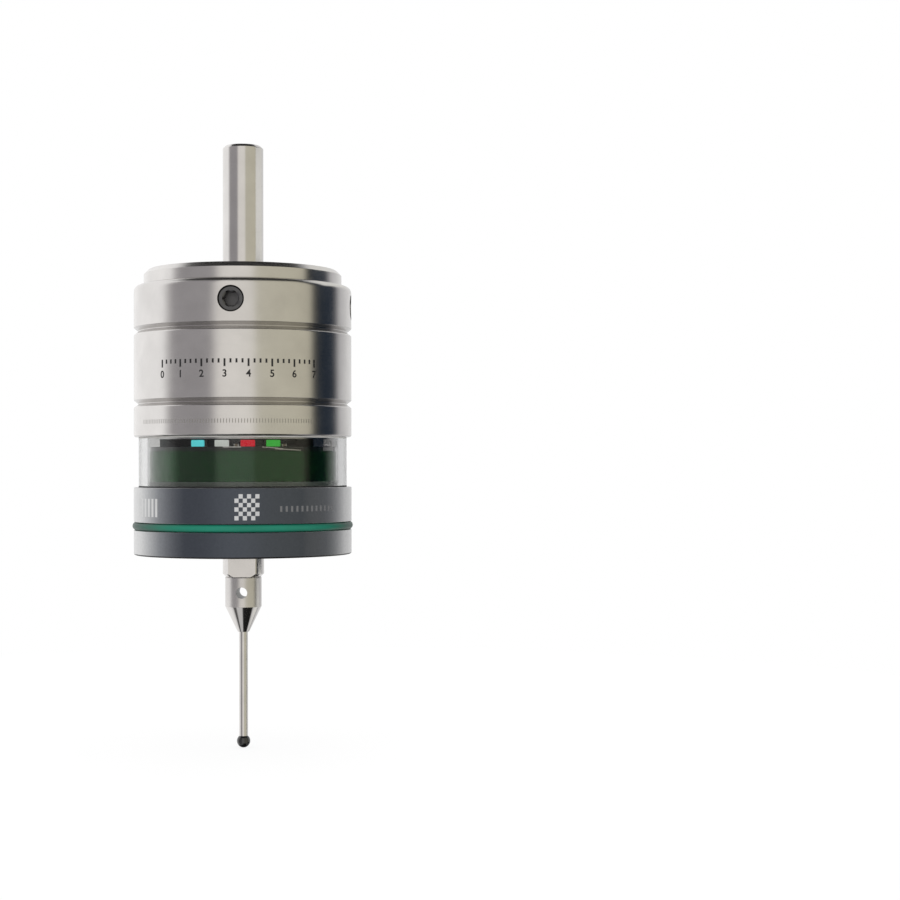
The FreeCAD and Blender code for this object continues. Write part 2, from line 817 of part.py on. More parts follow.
def make_bottom_cap():
    flare = D["exit_hole_flare"]
    edge = D["cap_edge"]
    neck_top = housing_bottom - D["cap_neck_gap"]
    corners = [
        (exit_hole, cap_floor),
        (exit_hole, cap_bottom + flare),
        (exit_hole + flare, cap_bottom),
        (case_radius - edge, cap_bottom),
        (case_radius, cap_bottom + edge),
        (case_radius, cap_top),
        (seal_seat, cap_top),
        (seal_seat, base_bottom),
        (housing_radius, base_bottom),
        (housing_radius, neck_top),
        (cap_bore, neck_top),
        (cap_bore, cap_floor),
    ]
    keep("bottom_cap", turned("bottom_cap_turned", corners))


# Seat ring: an insulating ring with three pairs of parallel rollers pointing to the centre
def roller_places():
    """Angle and sideways offset of each roller, pair by pair."""
    places = []
    for angle in BALL_ANGLES:
        places.append((angle, D["roller_half_spacing"]))
        places.append((angle, -D["roller_half_spacing"]))
    return places


def make_seat_ring():
    outer = cap_bore - D["seat_play"]
    corners = [(seat_bore, cap_floor), (outer, cap_floor), (outer, seat_top), (seat_bore, seat_top)]
    blank = turned("seat_ring_blank", corners)
    slots = []
    fit = D["press_fit"]
    width = D["roller_diameter"] + fit * 2
    length = D["roller_length"] + fit * 2
    start = ball_place - length / 2
    for number, (angle, side) in enumerate(roller_places(), start=1):
        x, y = on_circle(start, angle, side)
        slots.append(cylinder(f"roller_bed_{number}", width / 2, length,
                              x, y, roller_level, direction_at(angle)))
        slots.append(radial_box(f"roller_mouth_{number}", angle, start, length, width,
                                roller_level, D["roller_diameter"], side))
    keep("seat_ring", cut("seat_ring_slotted", blank, slots))


def make_rollers():
    start = ball_place - D["roller_length"] / 2
    for number, (angle, side) in enumerate(roller_places(), start=1):
        x, y = on_circle(start, angle, side)
        keep(f"roller_{number}", cylinder(f"roller_bar_{number}", D["roller_diameter"] / 2,
                                          D["roller_length"], x, y, roller_level,
                                          direction_at(angle)))


# Carrier: a hub with three arms, each holding a ball that sits between two rollers
def make_carrier():
    hub = D["hub_diameter"] / 2
    head = D["hub_head_diameter"] / 2
    pilot = D["spring_pilot"] / 2
    bore = D["holder_stud"] / 2 + D["press_fit"]
    bore_top = hub_bottom + D["holder_stud_length"]
    pilot_top = carrier_top + D["spring_pilot_height"]
    corners = [
        (bore, hub_bottom),
        (hub, hub_bottom),
        (hub, arm_bottom),
        (head, arm_bottom),
        (head, carrier_top),
        (pilot, carrier_top),
        (pilot, pilot_top),
        (0, pilot_top),
        (0, bore_top),
        (bore, bore_top),
    ]
    body = turned("carrier_body", corners)
    half = D["arm_width"] / 2
    outline = [(-half, hub), (half, hub), (half, ball_place), (-half, ball_place)]
    rounds = {2: ((0, ball_place), half)}
    sketch = sketch_on(body, "carrier_arm_outline", "XY_Plane", outline, rounds)
    bind(sketch, "AttachmentOffset.Base.z", arm_bottom)
    arm = body.newObject("PartDesign::Pad", "carrier_arm")
    arm.Profile = sketch
    bind(arm, "Length", D["arm_thickness"])
    pattern = body.newObject("PartDesign::PolarPattern", "carrier_arms")
    pattern.Originals = [arm]
    axis = [item for item in body.Origin.OriginFeatures if item.Role == "Z_Axis"][0]
    pattern.Axis = (axis, [""])
    pattern.Angle = 360
    pattern.Occurrences = len(BALL_ANGLES)
    body.Tip = pattern
    sockets = []
    for number, angle in enumerate(BALL_ANGLES, start=1):
        x, y = on_circle(ball_place, angle)
        sockets.append(ball(f"ball_socket_{number}", D["ball_diameter"] / 2 + D["socket_clearance"],
                            x, y, ball_level))
        keep(f"ball_{number}", ball(f"seat_ball_{number}", D["ball_diameter"] / 2, x, y, ball_level))
    keep("carrier", cut("carrier_socketed", body, sockets))


# Coil spring between the housing ceiling and the carrier, built of half turns. Each is the wire's
# section turned by half a circle about an axis that leans a little, so that the wire climbs from
# one side to the other and meets the next half turn without a kink.
def make_spring():
    radius = D["spring_diameter"] / 2
    wire = D["spring_wire"] / 2
    base = carrier_top + wire + D["press_fit"]
    height = housing_ceiling - D["press_fit"] - wire - base
    step = height / SPRING_HALF_TURNS
    half_turns = []
    for number in range(SPRING_HALF_TURNS):
        side = 1 if number % 2 == 0 else -1
        level = base + step * number
        section = doc.addObject("Part::Circle", f"spring_section_{number + 1}")
        bind(section, "Radius", wire)
        place(section, radius * side, 0, level, FreeCAD.Rotation(Vector(1, 0, 0), 90))
        half_turn = doc.addObject("Part::Revolution", f"spring_half_turn_{number + 1}")
        half_turn.Source = section
        half_turn.Angle = 180
        half_turn.Solid = True
        bind(half_turn, "Base.z", level + step / 2)
        bind(half_turn, "Axis.x", step / 2 * side)
        bind(half_turn, "Axis.y", 0)
        bind(half_turn, "Axis.z", radius)
        half_turns.append(half_turn)
    keep("spring", fused("spring_coil", half_turns))


# Rubber washer that covers the stylus hole from inside
def make_dust_seal():
    inner = D["holder_stud"] / 2 + D["press_fit"]
    outer = seat_bore - D["dust_seal_play"]
    corners = [(inner, seal_bottom), (outer, seal_bottom), (outer, hub_bottom), (inner, hub_bottom)]
    keep("dust_seal", turned("dust_seal_ring", corners))


# Stylus holder: a collar with two key flats, screwed into the hub
def make_stylus_holder():
    collar = D["holder_diameter"] / 2
    stud = D["holder_stud"] / 2
    thread = D["stylus_thread"] / 2 + D["press_fit"]
    thread_top = holder_bottom + D["stylus_thread_depth"]
    stud_top = hub_bottom + D["holder_stud_length"] - D["press_fit"]
    chamfer = D["holder_chamfer"]
    corners = [
        (thread, holder_bottom),
        (collar - chamfer, holder_bottom),
        (collar, holder_bottom + chamfer),
        (collar, seal_bottom),
        (stud, seal_bottom),
        (stud, stud_top),
        (0, stud_top),
        (0, thread_top),
        (thread, thread_top),
    ]
    blank = turned("stylus_holder_blank", corners)
    flats = []
    flat = D["holder_flats"] / 2
    for number, angle in enumerate((90, 270), start=1):
        flats.append(radial_box(f"key_flat_{number}", angle, flat, D["holder_diameter"],
                                D["holder_diameter"] * 2, holder_bottom, D["holder_flat_length"]))
    keep("stylus_holder", cut("stylus_holder_flatted", blank, flats))


# Stylus: threaded body with a cross hole and a cone, a thin stem and the ball tip
def make_stylus():
    body_radius = D["stylus_body_diameter"] / 2
    thread = D["stylus_thread"] / 2
    bore = D["stem_diameter"] / 2 + D["press_fit"]
    bore_top = cone_bottom + D["stem_seat_depth"]
    corners = [
        (bore, cone_bottom),
        (D["stylus_cone_tip"] / 2, cone_bottom),
        (body_radius, cone_top),
        (body_radius, holder_bottom),
        (thread, holder_bottom),
        (thread, holder_bottom + D["stylus_thread_length"]),
        (0, holder_bottom + D["stylus_thread_length"]),
        (0, bore_top),
        (bore, bore_top),
    ]
    blank = turned("stylus_base_blank", corners)
    hole_level = holder_bottom - D["tommy_hole_drop"]
    hole = cylinder("tommy_hole", D["tommy_hole"] / 2, D["stylus_body_diameter"] * 2,
                    0, -D["stylus_body_diameter"], hole_level, Vector(0, 1, 0))
    keep("stylus_base", cut("stylus_base_drilled", blank, [hole]))

    stem = D["stem_diameter"] / 2
    tip = D["tip_diameter"] / 2
    shoulder = tip_level + tip - D["tip_seat_depth"] / 2
    spigot = D["tip_spigot_diameter"] / 2
    spigot_end = shoulder - D["tip_seat_depth"]
    corners = [
        (0, spigot_end),
        (spigot, spigot_end),
        (spigot, shoulder),
        (stem, shoulder),
        (stem, bore_top),
        (0, bore_top),
    ]
    keep("stylus_stem", turned("stylus_stem_rod", corners))

    sphere = ball("tip_sphere", tip, 0, 0, tip_level)
    seat = cylinder("tip_seat", stem + D["press_fit"], D["tip_diameter"], 0, 0, shoulder)
    bore_hole = cylinder("tip_bore", spigot + D["press_fit"], D["tip_diameter"], 0, 0, spigot_end)
    keep("stylus_tip", cut("stylus_tip_bored", sphere, [seat, bore_hole]))


def check_and_write():
    """Test every object and every piece, then write each piece to its own file."""
    doc.recompute()
    for item in doc.Objects:
        if "Invalid" in item.State or "Error" in item.State:
            raise RuntimeError(f"{item.Label} failed: {item.State}")
    os.makedirs("parts", exist_ok=True)
    for name, piece in parts.items():
        shape = piece.Shape
        if shape.isNull() or not shape.isValid() or not shape.Solids:
            raise RuntimeError(f"{name} has no valid solid")
        if piece.Label != name:
            raise RuntimeError(f"{name} lost its label")
        shape.exportStep(f"parts/{name}.step")


make_shank()
make_top_plate()
make_flange_screws()
make_steel_body()
make_set_screws()
make_light_ring()
make_battery()
make_board()
make_lamps()
make_chips()
make_window()
make_sensor_housing()
make_stack_screws()
make_contact_pins()
make_base_ring()
make_ring_seal()
make_bottom_cap()
make_seat_ring()
make_rollers()
make_carrier()
make_spring()
make_dust_seal()
make_stylus_holder()
make_stylus()
check_and_write()
print(len(parts), "pieces written")
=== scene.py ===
import math

import bmesh
import bpy
import numpy as np
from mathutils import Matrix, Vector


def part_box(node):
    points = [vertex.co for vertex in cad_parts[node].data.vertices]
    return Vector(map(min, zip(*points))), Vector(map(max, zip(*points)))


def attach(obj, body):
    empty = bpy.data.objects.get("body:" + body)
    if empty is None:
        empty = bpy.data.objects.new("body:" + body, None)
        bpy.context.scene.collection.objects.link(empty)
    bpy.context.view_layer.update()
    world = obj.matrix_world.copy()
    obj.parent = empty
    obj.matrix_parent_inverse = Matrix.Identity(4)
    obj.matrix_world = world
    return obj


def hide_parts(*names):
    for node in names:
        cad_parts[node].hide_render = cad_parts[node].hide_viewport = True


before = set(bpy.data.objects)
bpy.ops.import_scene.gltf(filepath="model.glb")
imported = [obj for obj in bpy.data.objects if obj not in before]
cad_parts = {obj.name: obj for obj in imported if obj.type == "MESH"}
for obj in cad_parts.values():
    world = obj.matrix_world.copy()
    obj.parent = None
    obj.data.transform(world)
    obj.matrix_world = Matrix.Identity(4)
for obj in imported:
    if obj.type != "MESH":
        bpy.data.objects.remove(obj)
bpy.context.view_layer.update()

MM = 0.001
FULL_TURN = 2 * math.pi
FINE = 288
MEDIUM = 160
SMALL = 72

# Levels up the probe's axis in millimetres; zero is the upper face of the top plate
def floor_of(node):
    """Lowest level of a node."""
    return round(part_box(node)[0][2] / MM, 3)


def top_of(node):
    """Highest level of a node."""
    return round(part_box(node)[1][2] / MM, 3)


SHANK_TOP = top_of("shank")
SPIGOT_BOTTOM = floor_of("top_plate")
BODY_TOP = top_of("steel_body")
BODY_BOTTOM = floor_of("steel_body")
BOARD_TOP = top_of("main_board")
BOARD_BOTTOM = floor_of("main_board")
BASE_TOP = top_of("base_ring")
BASE_BOTTOM = floor_of("base_ring")
SEAL_LEVEL = BASE_BOTTOM - 0.6
CAP_TOP = BASE_BOTTOM - 1.2
CAP_BOTTOM = floor_of("bottom_cap")
CAP_FLOOR = CAP_BOTTOM + 1.5
NECK_TOP = top_of("bottom_cap")
HOUSING_BOTTOM = floor_of("sensor_housing")
HOLDER_BOTTOM = floor_of("stylus_holder")
CONE_TOP = HOLDER_BOTTOM - 4.4
CONE_BOTTOM = floor_of("stylus_base")
STEM_TOP = top_of("stylus_stem")
TIP_LEVEL = floor_of("stylus_tip") + 1.0
CASE_RADIUS = 16.0


# Camera at the photograph's place: level with the window, a little to the right of the axis
def make_camera():
    data = bpy.data.cameras.new("camera")
    data.lens = 74.24
    data.sensor_width = 36.0
    data.clip_start = 0.02
    data.clip_end = 10.0
    camera = bpy.data.objects.new("camera", data)
    camera.location = (30.62 * MM, -275.0 * MM, -28.91 * MM)
    camera.rotation_euler = (math.radians(90.494), math.radians(0.11), 0.0)
    bpy.context.collection.objects.link(camera)
    bpy.context.scene.camera = camera


# Node graphs
class Graph:
    """A short way to add and join the nodes of one material or of the world."""

    def __init__(self, tree):
        self.tree = tree
        self.tree.nodes.clear()

    def add(self, kind, settings=None, **sockets):
        """Add a node, set its settings by name and its sockets by value or link."""
        node = self.tree.nodes.new(kind)
        for key, value in (settings or {}).items():
            setattr(node, key, value)
        for key, value in sockets.items():
            self.feed(node, key.replace("_", " "), value)
        return node

    def feed(self, node, key, value):
        """Set one socket to a value, or link an output to it."""
        numbered = key[0] == "n" and key[1:].isdigit()
        socket = node.inputs[int(key[1:]) if numbered else key]
        if isinstance(value, bpy.types.NodeSocket):
            self.tree.links.new(value, socket)
        else:
            socket.default_value = value

    def sum(self, operation, first, second=0.0):
        """One step of arithmetic."""
        return self.add("ShaderNodeMath", {"operation": operation}, n0=first, n1=second).outputs[0]

    def ramp(self, factor, stops):
        """Colour ramp from a list of places and colours."""
        node = self.add("ShaderNodeValToRGB", n0=factor)
        elements = node.color_ramp.elements
        while len(elements) < len(stops):
            elements.new(0.5)
        for element, (place, colour) in zip(elements, stops):
            element.position = place
            element.color = (*colour, 1.0)
        return node.outputs[0]

    def blend(self, factor, first, second, mode="MIX"):
        """Mix of two colours."""
        node = self.add("ShaderNodeMix", {"data_type": "RGBA", "blend_type": mode})
        self.feed(node, "n0", factor)
        self.feed(node, "n6", first)
        self.feed(node, "n7", second)
        return node.outputs[2]


# Studio: white all round, with grey, dark and tan cards that only polished surfaces show
LEFT_CARDS = (
    (-180, (1.00, 1.00, 1.00)),
    (-86, (1.00, 1.00, 1.00)),
    (-79, (0.60, 0.59, 0.59)),
    (-72, (0.33, 0.32, 0.33)),
    (-28, (0.33, 0.32, 0.33)),
    (-20, (0.82, 0.80, 0.77)),
    (16, (0.82, 0.80, 0.76)),
    (21, (0.57, 0.55, 0.46)),
)
RIGHT_CARDS = (
    (80, (0.57, 0.545, 0.44)),
    (86, (0.04, 0.04, 0.04)),
    (94, (0.010, 0.018, 0.032)),
    (116, (0.014, 0.024, 0.040)),
    (121, (0.12, 0.12, 0.13)),
    (128, (0.52, 0.52, 0.53)),
    (153, (0.76, 0.76, 0.76)),
    (180, (0.84, 0.84, 0.84)),
)
# Cards under the probe, which the stylus cone shows
CONE_CARDS = (
    (-180, (0.03,) * 3),
    (-110, (0.03,) * 3),
    (-98, (0.85,) * 3),
    (-85, (0.80,) * 3),
    (-74, (0.10,) * 3),
    (-60, (0.10,) * 3),
    (-50, (0.60,) * 3),
    (-8, (0.60,) * 3),
    (3, (0.02,) * 3),
    (80, (0.01,) * 3),
    (92, (0.70,) * 3),
    (102, (0.70,) * 3),
    (112, (0.03,) * 3),
    (180, (0.03,) * 3),
)


def make_studio():
    world = bpy.data.worlds.new("studio")
    bpy.context.scene.world = world
    world.use_nodes = True
    world.cycles.sampling_method = "NONE"
    graph = Graph(world.node_tree)
    way = graph.add("ShaderNodeTexCoord").outputs["Generated"]
    parts = graph.add("ShaderNodeSeparateXYZ", n0=way)
    east, north, rise = parts.outputs
    south = graph.sum("MULTIPLY", north, -1.0)
    round_angle = graph.sum("ARCTAN2", east, south)
    place = graph.sum("MULTIPLY_ADD", round_angle, 1 / FULL_TURN)
    place.node.inputs[2].default_value = 0.5
    height = graph.sum("MULTIPLY", graph.sum("ARCSINE", rise), 180 / math.pi)

    def cards(stops):
        return graph.ramp(place, [((angle + 180) / 360, colour) for angle, colour in stops])

    def step(first, last):
        node = graph.add("ShaderNodeMapRange", n0=height)
        node.inputs[1].default_value = first
        node.inputs[2].default_value = last
        return node.outputs[0]

    seen = cards(LEFT_CARDS + RIGHT_CARDS)
    seen = graph.blend(step(-36.0, -40.0), seen, cards(CONE_CARDS))
    dark = (0.03, 0.03, 0.03, 1.0)
    seen = graph.blend(step(47.0, 56.0), seen, dark)
    seen = graph.blend(step(-60.0, -63.0), seen, dark)
    light_path = graph.add("ShaderNodeLightPath")
    glossy = graph.sum("MINIMUM", light_path.outputs["Glossy Depth"], 1.0)
    diffuse = graph.sum("MINIMUM", light_path.outputs["Diffuse Depth"], 1.0)
    plain = (1.0, 1.0, 1.0, 1.0)
    colour = graph.blend(glossy, plain, seen)
    colour = graph.blend(diffuse, colour, (0.95, 0.95, 0.95, 1.0))
    background = graph.add("ShaderNodeBackground", Color=colour, Strength=1.0)
    output = graph.add("ShaderNodeOutputWorld")
    graph.feed(output, "Surface", background.outputs[0])


# Small bright cards beside the shank and the stylus, seen only in reflections
def make_card(name, azimuth, distance, half_width, low, high):
    """Upright plane that faces the axis from an azimuth, between two levels."""
    angle = math.radians(azimuth)
    centre = np.array([math.sin(angle), -math.cos(angle), 0.0]) * distance
    side = np.array([math.cos(angle), math.sin(angle), 0.0]) * half_width
    foot = np.array([0, 0, low])
    head = np.array([0, 0, high])
    corners = [centre - side + foot, centre + side + foot, centre + side + head,
               centre - side + head]
    mesh = bpy.data.meshes.new(name)
    mesh.from_pydata(np.array(corners) * MM, [], [[0, 1, 2, 3]])
    card = bpy.data.objects.new(name, mesh)
    bpy.context.collection.objects.link(card)
    material = bpy.data.materials.new(name)
    material.use_nodes = True
    graph = Graph(material.node_tree)
    glow = graph.add("ShaderNodeEmission", Color=(0.80, 0.80, 0.77, 1.0), Strength=1.0)
    graph.feed(graph.add("ShaderNodeOutputMaterial"), "Surface", glow.outputs[0])
    mesh.materials.append(material)
    card.visible_camera = False
    card.visible_diffuse = False
    card.visible_transmission = False
    card.visible_shadow = False


# Materials
def start_material(name):
    """New material with its graph, its shader and its Object coordinates."""
    material = bpy.data.materials.new(name)
    material.use_nodes = True
    graph = Graph(material.node_tree)
    shader = graph.add("ShaderNodeBsdfPrincipled")
    output = graph.add("ShaderNodeOutputMaterial")
    graph.feed(output, "Surface", shader.outputs[0])
    place = graph.add("ShaderNodeTexCoord").outputs["Object"]
    return material, graph, shader, place


def axis_distance(graph, place):
    """Distance from the probe's axis, and level along it, in metres."""
    parts = graph.add("ShaderNodeSeparateXYZ", n0=place)
    across = graph.sum("MULTIPLY", parts.outputs[0], parts.outputs[0])
    along = graph.sum("MULTIPLY", parts.outputs[1], parts.outputs[1])
    return graph.sum("SQRT", graph.sum("ADD", across, along)), parts.outputs[2]


def lathe_place(graph, place, scale):
    """Radius and height only, so that a pattern on it runs in rings round the axis."""
    radius, level = axis_distance(graph, place)
    rings = graph.add("ShaderNodeCombineXYZ", n0=radius, n2=level)
    return graph.add("ShaderNodeVectorMath", {"operation": "SCALE"}, Vector=rings.outputs[0],
                     Scale=scale).outputs[0]


def noise(graph, place, scale, detail=2.0):
    """Soft noise between 0 and 1."""
    return graph.add("ShaderNodeTexNoise", Vector=place, Scale=scale, Detail=detail).outputs[0]


def bump(graph, shader, height, distance, strength):
    """Feed a small relief to the shader."""
    relief = graph.add("ShaderNodeBump", Strength=strength, Distance=distance, Height=height)
    graph.feed(shader, "Normal", relief.outputs[0])


def spread(graph, value, low, high, first=0.0, last=1.0):
    """Stretch a value from one range, 0..1 if none is given, to another."""
    node = graph.add("ShaderNodeMapRange", n0=value)
    node.inputs[1].default_value = first
    node.inputs[2].default_value = last
    node.inputs[3].default_value = low
    node.inputs[4].default_value = high
    return node.outputs[0]


def grey(graph, value):
    """A value as a colour."""
    return graph.add("ShaderNodeCombineXYZ", n0=value, n1=value, n2=value).outputs[0]


def groove_shade(graph, place):
    """Painted shade: a factor under 1 inside the body's grooves, lowest on their upper walls, which
    face down.
    """
    radius, level = axis_distance(graph, place)
    depth = spread(graph, radius, 0.96, 1.0, (CASE_RADIUS - 0.4) * MM, (CASE_RADIUS - 0.02) * MM)
    normal = graph.add("ShaderNodeNewGeometry").outputs["Normal"]
    rise = graph.add("ShaderNodeSeparateXYZ", n0=normal).outputs[2]
    return graph.sum("MULTIPLY", depth, spread(graph, rise, 0.7, 1.0, -0.6, -0.3))


def cut_metal(name, colour, roughness, ring_size=0.12, depth=0.0008, stretch=0.5, shade_grooves=False):
    """Metal from a lathe: fine rings in its gloss and relief, and faint uneven patches. If asked,
    painted shade darkens the colour inside the body's grooves.
    """
    material, graph, shader, place = start_material(name)
    rings = noise(graph, lathe_place(graph, place, 1000 / ring_size), 1.0, 3.0)
    patches = noise(graph, place, 260.0, 3.0)
    darker = tuple(part * 0.9 for part in colour)
    tint = graph.ramp(patches, ((0.3, darker), (0.7, colour)))
    # Painted shade: the colour is darkened inside the grooves, most on their upper walls
    if shade_grooves:
        tint = graph.blend(1.0, tint, grey(graph, groove_shade(graph, place)), "MULTIPLY")
    graph.feed(shader, "Base Color", tint)
    gloss = graph.sum("ADD", spread(graph, rings, -0.03, 0.03), spread(graph, patches, -0.02, 0.02))
    gloss = graph.sum("ADD", gloss, roughness)
    graph.feed(shader, "Roughness", gloss)
    graph.feed(shader, "Metallic", 1.0)
    graph.feed(shader, "Anisotropic", stretch)
    graph.feed(shader, "Anisotropic Rotation", 0.25)
    tangent = graph.add("ShaderNodeTangent", {"direction_type": "RADIAL", "axis": "Z"})
    graph.feed(shader, "Tangent", tangent.outputs[0])
    bump(graph, shader, rings, depth * MM, 0.6)
    return material


def plain_metal(name, colour, roughness):
    """Metal that was not turned: an even fine grain."""
    material, graph, shader, place = start_material(name)
    fine = noise(graph, place, 900.0, 3.0)
    darker = tuple(part * 0.86 for part in colour)
    graph.feed(shader, "Base Color", graph.ramp(fine, ((0.3, darker), (0.7, colour))))
    graph.feed(shader, "Roughness", spread(graph, fine, roughness - 0.06, roughness + 0.06))
    graph.feed(shader, "Metallic", 1.0)
    bump(graph, shader, fine, 0.002 * MM, 0.5)
    return material


def anodised(name, colour, roughness):
    """Dark anodised aluminium: a matt metal whose gloss rises where it is seen edge-on."""
    material, graph, shader, place = start_material(name)
    rings = noise(graph, lathe_place(graph, place, 5000.0), 1.0, 3.0)
    fine = noise(graph, place, 3000.0, 2.0)
    facing = graph.add("ShaderNodeLayerWeight", n0=0.5).outputs["Facing"]
    slanted = tuple(part * 0.88 + 0.17 for part in colour)
    rim = graph.ramp(facing, ((0.0, colour), (0.16, colour), (0.36, slanted),
                              (0.64, (0.66,) * 3), (0.9, (0.78,) * 3)))
    tint = graph.blend(1.0, rim, grey(graph, spread(graph, fine, 0.86, 1.1)), "MULTIPLY")
    graph.feed(shader, "Base Color", tint)
    graph.feed(shader, "Roughness", spread(graph, rings, roughness - 0.04, roughness + 0.04))
    graph.feed(shader, "Metallic", 0.7)
    bump(graph, shader, graph.sum("ADD", rings, fine), 0.001 * MM, 0.5)
    return material


def moulded(name, colour, roughness, coat=0.0, depth=0.002, glow=0.0, shine=0.5,
            shine_colour=(1.0, 1.0, 1.0), edge=1.0):
    """Plastic, rubber or lacquer: an even colour with a fine moulded surface. An edge under 1 is
    the share of the colour that is left where the surface is seen edge-on: painted shade on its
    rim."""
    material, graph, shader, place = start_material(name)
    fine = noise(graph, place, 1500.0, 2.0)
    broad = noise(graph, place, 180.0, 2.0)
    darker = tuple(part * 0.84 for part in colour)
    tint = graph.ramp(broad, ((0.3, darker), (0.7, colour)))
    # Painted shade: the colour darkens where the surface is seen edge-on
    if edge < 1:
        facing = graph.add("ShaderNodeLayerWeight", n0=0.5).outputs["Facing"]
        painted_edge_shade = grey(graph, spread(graph, facing, 1.0, edge, 0.12, 0.7))
        tint = graph.blend(1.0, tint, painted_edge_shade, "MULTIPLY")
    graph.feed(shader, "Base Color", tint)
    graph.feed(shader, "Roughness", spread(graph, fine, roughness - 0.05, roughness + 0.05))
    graph.feed(shader, "Specular IOR Level", shine)
    graph.feed(shader, "Specular Tint", (*shine_colour, 1.0))
    graph.feed(shader, "Coat Weight", coat)
    graph.feed(shader, "Coat Roughness", 0.12)
    if glow:
        graph.feed(shader, "Emission Color", (*colour, 1.0))
        graph.feed(shader, "Emission Strength", glow)
    bump(graph, shader, fine, depth * MM, 0.5)
    return material


def clear_plastic(name):
    """Clear turned plastic with a trace of polishing rings; its colour darkens where it is seen
    edge-on, painted shade on the window's edges.
    """
    material, graph, shader, place = start_material(name)
    rings = noise(graph, lathe_place(graph, place, 3000.0), 1.0, 2.0)
    facing = graph.add("ShaderNodeLayerWeight", n0=0.5).outputs["Facing"]
    # Painted shade: the colour falls to dark grey where the window is seen edge-on
    tint = graph.ramp(facing, ((0.0, (0.74, 0.745, 0.74)), (0.72, (0.73,) * 3),
                               (0.82, (0.34,) * 3), (1.0, (0.28,) * 3)))
    graph.feed(shader, "Base Color", tint)
    graph.feed(shader, "Roughness", spread(graph, rings, 0.0, 0.02))
    graph.feed(shader, "Transmission Weight", 1.0)
    graph.feed(shader, "IOR", 1.36)
    bump(graph, shader, rings, 0.0002 * MM, 0.1)
    return material


def circuit_board(name):
    """Green lacquer over faint copper lines, with a dark edge."""
    material, graph, shader, place = start_material(name)
    lines = graph.add("ShaderNodeTexBrick", Vector=place, Color1=(0.008, 0.06, 0.025, 1),
                      Color2=(0.01, 0.075, 0.03, 1), Mortar=(0.02, 0.12, 0.05, 1), Scale=420.0)
    normal = graph.add("ShaderNodeNewGeometry").outputs["Normal"]
    rise = graph.add("ShaderNodeSeparateXYZ", n0=normal).outputs[2]
    face = graph.sum("ABSOLUTE", rise)
    tint = graph.blend(face, (0.004, 0.010, 0.008, 1.0), lines.outputs[0])
    graph.feed(shader, "Base Color", tint)
    graph.feed(shader, "Roughness", spread(graph, noise(graph, place, 900.0), 0.2, 0.3))
    graph.feed(shader, "Coat Weight", 0.5)
    bump(graph, shader, lines.outputs[1], 0.01 * MM, 0.4)
    return material


def make_materials():
    steel = (0.776, 0.753, 0.735)
    return {
        "turned_steel": cut_metal("turned_steel", steel, 0.24),
        "body_steel": cut_metal("body_steel", steel, 0.24, shade_grooves=True),
        "ground_steel": cut_metal("ground_steel", steel, 0.20, 0.06, 0.0005),
        "cone_steel": cut_metal("cone_steel", steel, 0.11, 0.06, 0.0003, 0.0),
        "matt_steel": cut_metal("matt_steel", steel, 0.34, 0.06, 0.0005, 0.0),
        "hard_steel": plain_metal("hard_steel", (0.70, 0.69, 0.68), 0.12),
        "spring_steel": plain_metal("spring_steel", (0.55, 0.54, 0.52), 0.3),
        "carrier_metal": cut_metal("carrier_metal", (0.60, 0.58, 0.55), 0.33),
        "black_oxide": plain_metal("black_oxide", (0.14, 0.14, 0.145), 0.4),
        "dark_anodised": anodised("dark_anodised", (0.083, 0.094, 0.116), 0.40),
        "ring_metal": cut_metal("ring_metal", (0.82, 0.81, 0.80), 0.2),
        "recess_painted_shade": moulded("recess_painted_shade", (0.006, 0.0055, 0.005), 0.3),
        "lower_edge_shade": moulded("lower_edge_shade", (0.006, 0.006, 0.007), 0.45),
        "hole_painted_shade": plain_metal("hole_painted_shade", (0.10, 0.098, 0.09), 0.35),
        "clear_window": clear_plastic("clear_window"),
        "gasket_black": moulded("gasket_black", (0.02, 0.02, 0.021), 0.6),
        "gasket_pale": moulded("gasket_pale", (0.62, 0.61, 0.58), 0.4),
        # Its edge setting paints shade on the seal's top and bottom
        "green_seal": moulded("green_seal", (0.004, 0.25, 0.155), 0.4, shine=0.4, edge=0.25),
        "green_housing": moulded("green_housing", (0.003, 0.030, 0.005), 0.05, depth=0.0,
                                 shine=1.0, shine_colour=(0.3, 1.0, 0.4)),
        "flange_green": moulded("flange_green", (0.20, 0.24, 0.20), 0.2, depth=0.0),
        "board_green": circuit_board("board_green"),
        "lamp_cyan": moulded("lamp_cyan", (0.13, 0.82, 0.86), 0.4, glow=0.75, shine=0.2),
        "lamp_white": moulded("lamp_white", (0.80, 0.84, 0.79), 0.4, glow=0.55, shine=0.2),
        "lamp_red": moulded("lamp_red", (0.70, 0.001, 0.018), 0.4, glow=0.75, shine=0.2),
        "lamp_green": moulded("lamp_green", (0.04, 0.44, 0.045), 0.4, glow=0.85, shine=0.2),
        "lamp_case": moulded("lamp_case", (0.40, 0.40, 0.36), 0.4),
        "chip_ceramic": moulded("chip_ceramic", (0.55, 0.42, 0.28), 0.4),
        "solder_tin": plain_metal("solder_tin", (0.80, 0.79, 0.76), 0.35),
        "shield_can": plain_metal("shield_can", (0.62, 0.60, 0.56), 0.32),
        "cell_can": cut_metal("cell_can", (0.66, 0.64, 0.60), 0.3),
        "tray_black": moulded("tray_black", (0.022, 0.022, 0.024), 0.5),
        "seat_insulator": moulded("seat_insulator", (0.42, 0.33, 0.20), 0.5),
        "contact_gold": plain_metal("contact_gold", (0.83, 0.60, 0.27), 0.22),
        "tip_black": moulded("tip_black", (0.008, 0.008, 0.009), 0.12, 1.0),
        "print_black": moulded("print_black", (0.012, 0.012, 0.013), 0.45),
        "print_pale": moulded("print_pale", (0.68, 0.68, 0.68), 0.5),
        "print_faint": moulded("print_faint", (0.17, 0.17, 0.175), 0.5),
        "etched": plain_metal("etched", (0.50, 0.485, 0.46), 0.5),
    }


